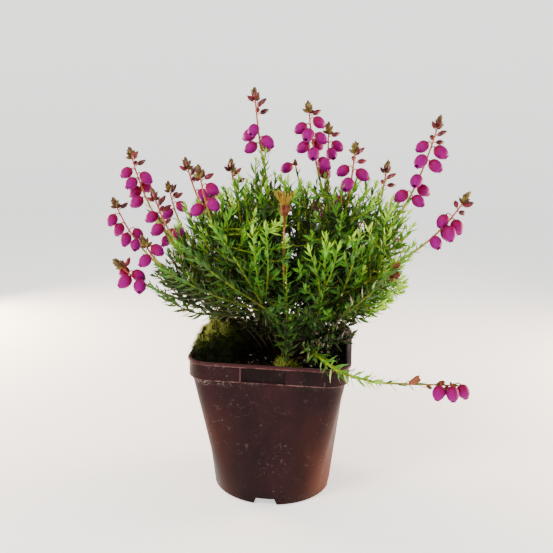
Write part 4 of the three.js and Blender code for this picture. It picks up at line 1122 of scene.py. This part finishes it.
def makeBloom():
    long, wide = flower["length"], flower["radius"]
    outside = [(0.0, 0.0), (0.2, 0.015), (0.5, 0.06), (0.76, 0.15), (0.93, 0.28), (1.0, 0.43), (0.98, 0.58),
               (0.86, 0.73), (0.62, 0.86), (0.4, 0.93), (0.33, 0.955), (0.38, 0.975), (0.5, 0.985)]
    inside = [(0.52, 0.965), (0.36, 0.945), (0.27, 0.93), (0.26, 0.9), (0.4, 0.82), (0.45, 0.7), (0.0, 0.64)]
    bm = spun([(r * wide, z * long) for r, z in outside + inside], flower["steps"])
    for vert in bm.verts:
        turn = math.atan2(vert.co.y, vert.co.x)
        reach = math.hypot(vert.co.x, vert.co.y)
        if vert.co.z > 0.955 * long and reach > 0.33 * wide:
            pull = lerp(0.72, 1.0, 0.5 + 0.5 * math.cos(4 * turn))
            vert.co.x, vert.co.y = vert.co.x * pull, vert.co.y * pull
        else:
            swell = 1 + 0.018 * math.cos(4 * turn)
            vert.co.x, vert.co.y = vert.co.x * swell, vert.co.y * swell
    return marked(bm, along=lambda co: co.z / long)


def makeSepal():
    rings = [ringAt(0, 0.5, 0.18), ringAt(1.1, 0.62, 0.16, -0.9, -0.5), ringAt(2.2, 0.4, 0.12, -1.5, -0.3)]
    return marked(drawnOut(rings, 4, Vector((0, -1.75, 3.1))))


def makeBud():
    long, wide = bud["length"], bud["radius"]
    profile = [(0.0, 0.0), (0.45, 0.02), (0.82, 0.16), (1.0, 0.38), (0.9, 0.6), (0.58, 0.8), (0.22, 0.95),
               (0.0, 1.0)]
    bm = spun([(r * wide, z * long) for r, z in profile], 8)
    return marked(bm, along=lambda co: co.z / long)


bloomTemplate, sepalTemplate, budTemplate = makeBloom(), makeSepal(), makeBud()


def facets(line, radii, firstTurned, firstWay, count):  # the places on a three-sided stem that bear its buds
    ends = len(line) - 1
    ways = [(line[min(i + 1, ends)] - line[max(i - 1, 0)]).normalized() for i in range(ends + 1)]
    ways[0] = firstWay
    spin = math.radians(2 * goldenAngle - 240)
    across = Vector((1, 0.3, 0)).cross(ways[0]).normalized()
    rings = []
    for i, (point, way, radius) in enumerate(zip(line, ways, radii)):
        across = (across - way * across.dot(way)).normalized()
        turns = [spin * max(0, i - firstTurned) + third * 2 * math.pi / 3 for third in range(3)]
        rings.append([point + (Quaternion(way, a) @ across) * radius for a in turns])
    for number in range(count):
        step, k = firstTurned + number // 2, number % 3
        other = rings[step + 1][k] if number % 2 else rings[step][(k + 1) % 3]
        middle = (rings[step][k] + rings[step + 1][(k + 1) % 3] + other) / 3
        out = middle - line[step]
        yield middle, ways[step], (out - ways[step] * out.dot(ways[step])).normalized()


def hangFlower(bm, route, drop, side, size, tone, stalks):  # the deeper its tone, the more it looks sideways
    root = route.at(route.length - drop)
    out = Vector((math.cos(math.radians(side)), math.sin(math.radians(side)), 0))
    turned = flower["sideways"] * (1 - tone) if abs(root.x) < flower["calmPast"] else flower["calm"]
    elbow = root + out * (flower["stalk"] - 4 * turned) + upward * flower["lift"]
    nod = (out * (flower["out"] + turned) - upward * (flower["down"] - turned)).normalized()
    stalk = cubic(root, root + out * 1.6 + upward * 1.4, elbow - nod * 1.6 + upward * 0.5, elbow + nod * 0.3)
    stalks.append((stalk.spaced(7), [flower["stalkRadius"]] * 8))
    seat = frameOf(elbow, nod, upward, size)
    stamp(bm, bloomTemplate, seat, tone, 0)
    for quarter in range(4):
        turn = Matrix.Rotation(math.radians(45 + 90 * quarter), 4, "Z")
        stamp(bm, sepalTemplate, seat @ turn @ Matrix.Translation((0, -0.5, -0.1)), 0.4, 3)


def addTuft(bm, route, size, roll):  # the tight tuft of young buds at a spray's tip
    along = route.way(route.length - 2)
    side = along.orthogonal().normalized()
    count = 14
    for i in range(count):
        share = i / (count - 1)
        out = Quaternion(along, math.radians(goldenAngle * i)) @ side
        angle = math.radians(lerp(72, 5, share ** 0.8) + roll(-6, 6))
        way = splay(along, out, angle)[0]
        place = route.at(route.length - lerp(8.7, 4.7, share) * size)
        stamp(bm, budTemplate, frameOf(place, way, out, size * roll(0.62, 0.79)), roll(), 3)


def makeSpray(stem, number):
    route, flowers = stem["spray"], stem.get("flowers", [])
    bm = blank("tone", "along")
    roll = dice(303 + len(flowers))
    stalks = []
    for drop, side in flowers:
        size = 0.94 + 0.12 * roll()
        hangFlower(bm, route, drop, side, size, 0.25 + 0.75 * dice(number * 31 + drop)(), stalks)
    first = min(drop for drop, _ in flowers) if flowers else route.length
    head = min(spray["head"], first - 1)
    pairs = max(0, min(spray["budPairs"], math.floor((first - head) / spray["budStep"])))
    bare = max(2, route.length - compost["clearance"] - head - pairs * spray["budStep"])
    bareSteps = max(1, math.floor(bare / spray["bareStep"] + 0.5))
    places = [compost["clearance"] + bare * i / bareSteps for i in range(bareSteps)]
    places += [compost["clearance"] + bare + i * spray["budStep"] for i in range(pairs + 1)]
    radii = taper(spray["frameRadius"], spray["frameTipRadius"], len(places) - 1)
    line = [route.at(p) for p in places] + [route.at(route.length - head * 0.55)]
    radii.append(spray["frameHeadRadius"] * head / spray["head"])
    budRoll = dice(505 + len(flowers))
    for i, (middle, along, out) in enumerate(facets(line, radii, bareSteps, stem["endWay"], pairs * 2)):
        share = i / (pairs * 2)
        angle = math.radians(74 - 34 * share)
        size = 1.05 - 0.35 * share + 0.1 * budRoll()
        way = splay(along, out, angle)[0]
        neck = middle + way * bud["stalk"] * size
        bend = cubic(middle - out * 0.4, middle + out * 0.9, neck - way * 0.8, neck)
        stalks.append((bend.spaced(4), [bud["stalkRadius"] * size] * 5))
        stamp(bm, budTemplate, frameOf(neck, way, along, size), budRoll(), 2)
    count = max(10, int(route.length / 2.5))
    way = route.points[-1] - route.points[0]
    reddened = lambda co: (co - route.points[0]).dot(way) / way.length_squared
    stalk = (route.spaced(count, route.length * 0.97), taper(spray["radius"], spray["tipRadius"], count))
    tubes(bm, [stalk], 1, 2, reddened)
    tubes(bm, stalks, 1, 1, 0.6)
    for place, side, size, dryTone in stem.get("dry", []):  # seed heads of last year
        root = Vector(place) if isinstance(place, tuple) else route.at(route.length - place)
        out = Vector((math.cos(math.radians(side)), -0.1, math.sin(math.radians(side)))).normalized()
        for i in range(7):
            turn = Quaternion(out, math.radians(goldenAngle * i))
            lean = (out + turn @ out.orthogonal().normalized() * roll(0.1, 0.5)).normalized()
            turned = upward.lerp(way.normalized(), 0.3)
            stamp(bm, budTemplate, frameOf(root + out * roll(0, 2) * size, lean, turned,
                                           size * roll(0.7, 1.1)), dryTone + roll(0, 0.3), 4)
    addTuft(bm, route, max(0.55, head / spray["head"]), roll)
    meshPiece("spray_" + stem["name"], bm, ["petal", "stalk", "bud", "tuft", "dry"],
              ["flower_spray_" + stem["name"]])


sprayed = [stem for stem in stems.values() if "tip" in stem]
for number, stem in enumerate(sprayed):
    makeSpray(stem, number)
print("sprays:", len(sprayed))

# The withered head: last year's dry cup, with a brush of straw-coloured stalks

withered = {"neck": 6, "cup": 7, "cupRadius": 2.6, "stalks": 20, "stalkLength": 12, "stalkRadius": 0.17,
            "scales": 9, "knob": 1.8}


def makeWithered(base):
    roll = dice(77)
    bm = blank("tone", "along")
    neck, cup, radius = withered["neck"], withered["cup"], withered["cupRadius"]
    tubes(bm, [([base + upward * z for z in (0.3, 2, 4, neck)], [0.55, 0.5, 0.55, 0.8])], 0, 2, 0.5)
    profile = [(0.0, 0.0), (0.36, 0.02), (0.7, 0.2), (1.0, 0.52), (0.94, 0.8), (0.82, 1.0), (0.7, 0.98),
               (0.74, 0.7), (0.0, 0.5)]
    wall = marked(spun([(r * radius * 0.86, z * cup) for r, z in profile], 12))
    stamp(bm, wall, Matrix.Translation(base + upward * neck), 0.4, 0)
    rings = [ringAt(0, 0.3, 0.2), ringAt(2.4, 1.0, 0.22, -0.7, -0.1), ringAt(5.4, 0.8, 0.18, -0.5, 0.2)]
    scale = marked(drawnOut(rings, 4, Vector((0, -1.0, 8.2))))
    for i in range(withered["scales"]):
        turn = Quaternion(upward, math.radians(goldenAngle * i)).to_matrix().to_4x4()
        lift = Matrix.Translation(base + upward * (neck + 0.2 + 0.15 * i))
        lean = Matrix.Rotation(math.radians(13 + roll(-4, 6)), 4, "X")
        stamp(bm, scale, lift @ turn @ Matrix.Translation((0, -1.3, 0)) @ lean, roll(), 0)
    lines = []
    for i in range(withered["stalks"]):
        a = math.radians(i * goldenAngle)
        lean = 0.6 * math.sqrt((i + 0.5) / withered["stalks"])
        out = Vector((math.cos(a), math.sin(a), 0))
        foot = base + upward * (neck + cup * 0.6) + out * radius * 0.45 * roll()
        end = foot + (out * lean + upward).normalized() * withered["stalkLength"] * roll(0.7, 1.08)
        bend = cubic(foot, foot + upward * 4, end - out * roll(-1.5, 1.5) - upward * 3, end)
        thin = withered["stalkRadius"]
        lines.append((bend.spaced(6), [thin] * 6 + [thin * withered["knob"]]))
    tubes(bm, lines, 1, 1, 0.5)
    meshPiece("withered_cup", bm, ["dry", "straw"], ["withered_head"])


makeWithered(Vector(stems["withered"]["base"]))
print("withered head")

# The stage: a pale floor, soft lights and the camera where the photograph was taken

stage = {"floor": [(0, 0), (2.2, 0), (2.6, 0.06), (2.95, 0.24), (3.15, 0.55), (3.22, 0.95), (3.25, 1.5)],
         "floorColour": "#f7f6f4", "cloudColour": "#e6e4e2", "glow": 0.9, "sky": 0.3}
lights = [
    {"name": "key", "place": (-0.5, -0.85, 1.25), "size": 0.4, "power": 22, "tint": (1, 0.97, 0.92)},
    {"name": "top", "place": (0.25, 0.1, 1.4), "size": 0.5, "power": 5, "tint": (1, 1, 1)},
    {"name": "back_left", "place": (-0.55, 0.28, 0.12), "size": 0.3, "power": 15, "tint": (1, 0.7, 0.46)},
    {"name": "back_right", "place": (0.6, 0.26, 0.12), "size": 0.3, "power": 15, "tint": (1, 0.7, 0.46)},
]
camera = {"place": (0.04965, -0.46975, 0.2425), "forward": (-0.10361, 0.97436, -0.19973),
          "up": (-0.04541, 0.19597, 0.97956), "lens": 46.5, "sensor": 36}


def makeStage():
    bm = spun(stage["floor"], 96)
    bmesh.ops.reverse_faces(bm, faces=[f for f in bm.faces if f.normal.z < 0])
    mesh = bpy.data.meshes.new("floor")
    bm.to_mesh(mesh)
    bm.free()
    mesh.shade_smooth()
    paint = Paint("floor", Emission_Strength=stage["glow"], Emission_Color=(1, 1, 1, 1), Specular_IOR_Level=0.2)
    tint = paint.mix(paint.clouds(6, 2) * 0.05, stage["floorColour"], stage["cloudColour"])
    mesh.materials.append(paint.finish(Base_Color=tint, Roughness=0.9))
    floor = bpy.data.objects.new("floor", mesh)
    bpy.context.scene.collection.objects.link(floor)
    floor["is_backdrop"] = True
    world = bpy.data.worlds.new("sky")
    bpy.context.scene.world = world
    world.use_nodes = True
    world.node_tree.nodes["Background"].inputs["Color"].default_value = (1, 1, 1, 1)
    world.node_tree.nodes["Background"].inputs["Strength"].default_value = stage["sky"]
    for light in lights:
        lamp = bpy.data.lights.new(light["name"], "AREA")
        lamp.size = light["size"]
        lamp.energy = light["power"]
        lamp.color = light["tint"]
        thing = bpy.data.objects.new(light["name"], lamp)
        thing.location = light["place"]
        aim = Vector((0, 0, min(0.14, light["place"][2] * 0.5))) - Vector(light["place"])
        thing.rotation_euler = aim.to_track_quat("-Z", "Y").to_euler()
        bpy.context.scene.collection.objects.link(thing)


def makeCamera():
    lens = bpy.data.cameras.new("camera")
    lens.lens = camera["lens"]
    lens.sensor_width = camera["sensor"]
    lens.clip_start = 0.01
    thing = bpy.data.objects.new("camera", lens)
    up = Vector(camera["up"])
    back = -Vector(camera["forward"])
    right = up.cross(back)
    thing.matrix_world = Matrix.Translation(camera["place"]) @ Matrix((right, up, back)).transposed().to_4x4()
    bpy.context.scene.collection.objects.link(thing)
    bpy.context.scene.camera = thing


makeStage()
makeCamera()
print("stage")

faces = sum(len(o.data.polygons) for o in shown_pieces())
print("faces shown:", faces)
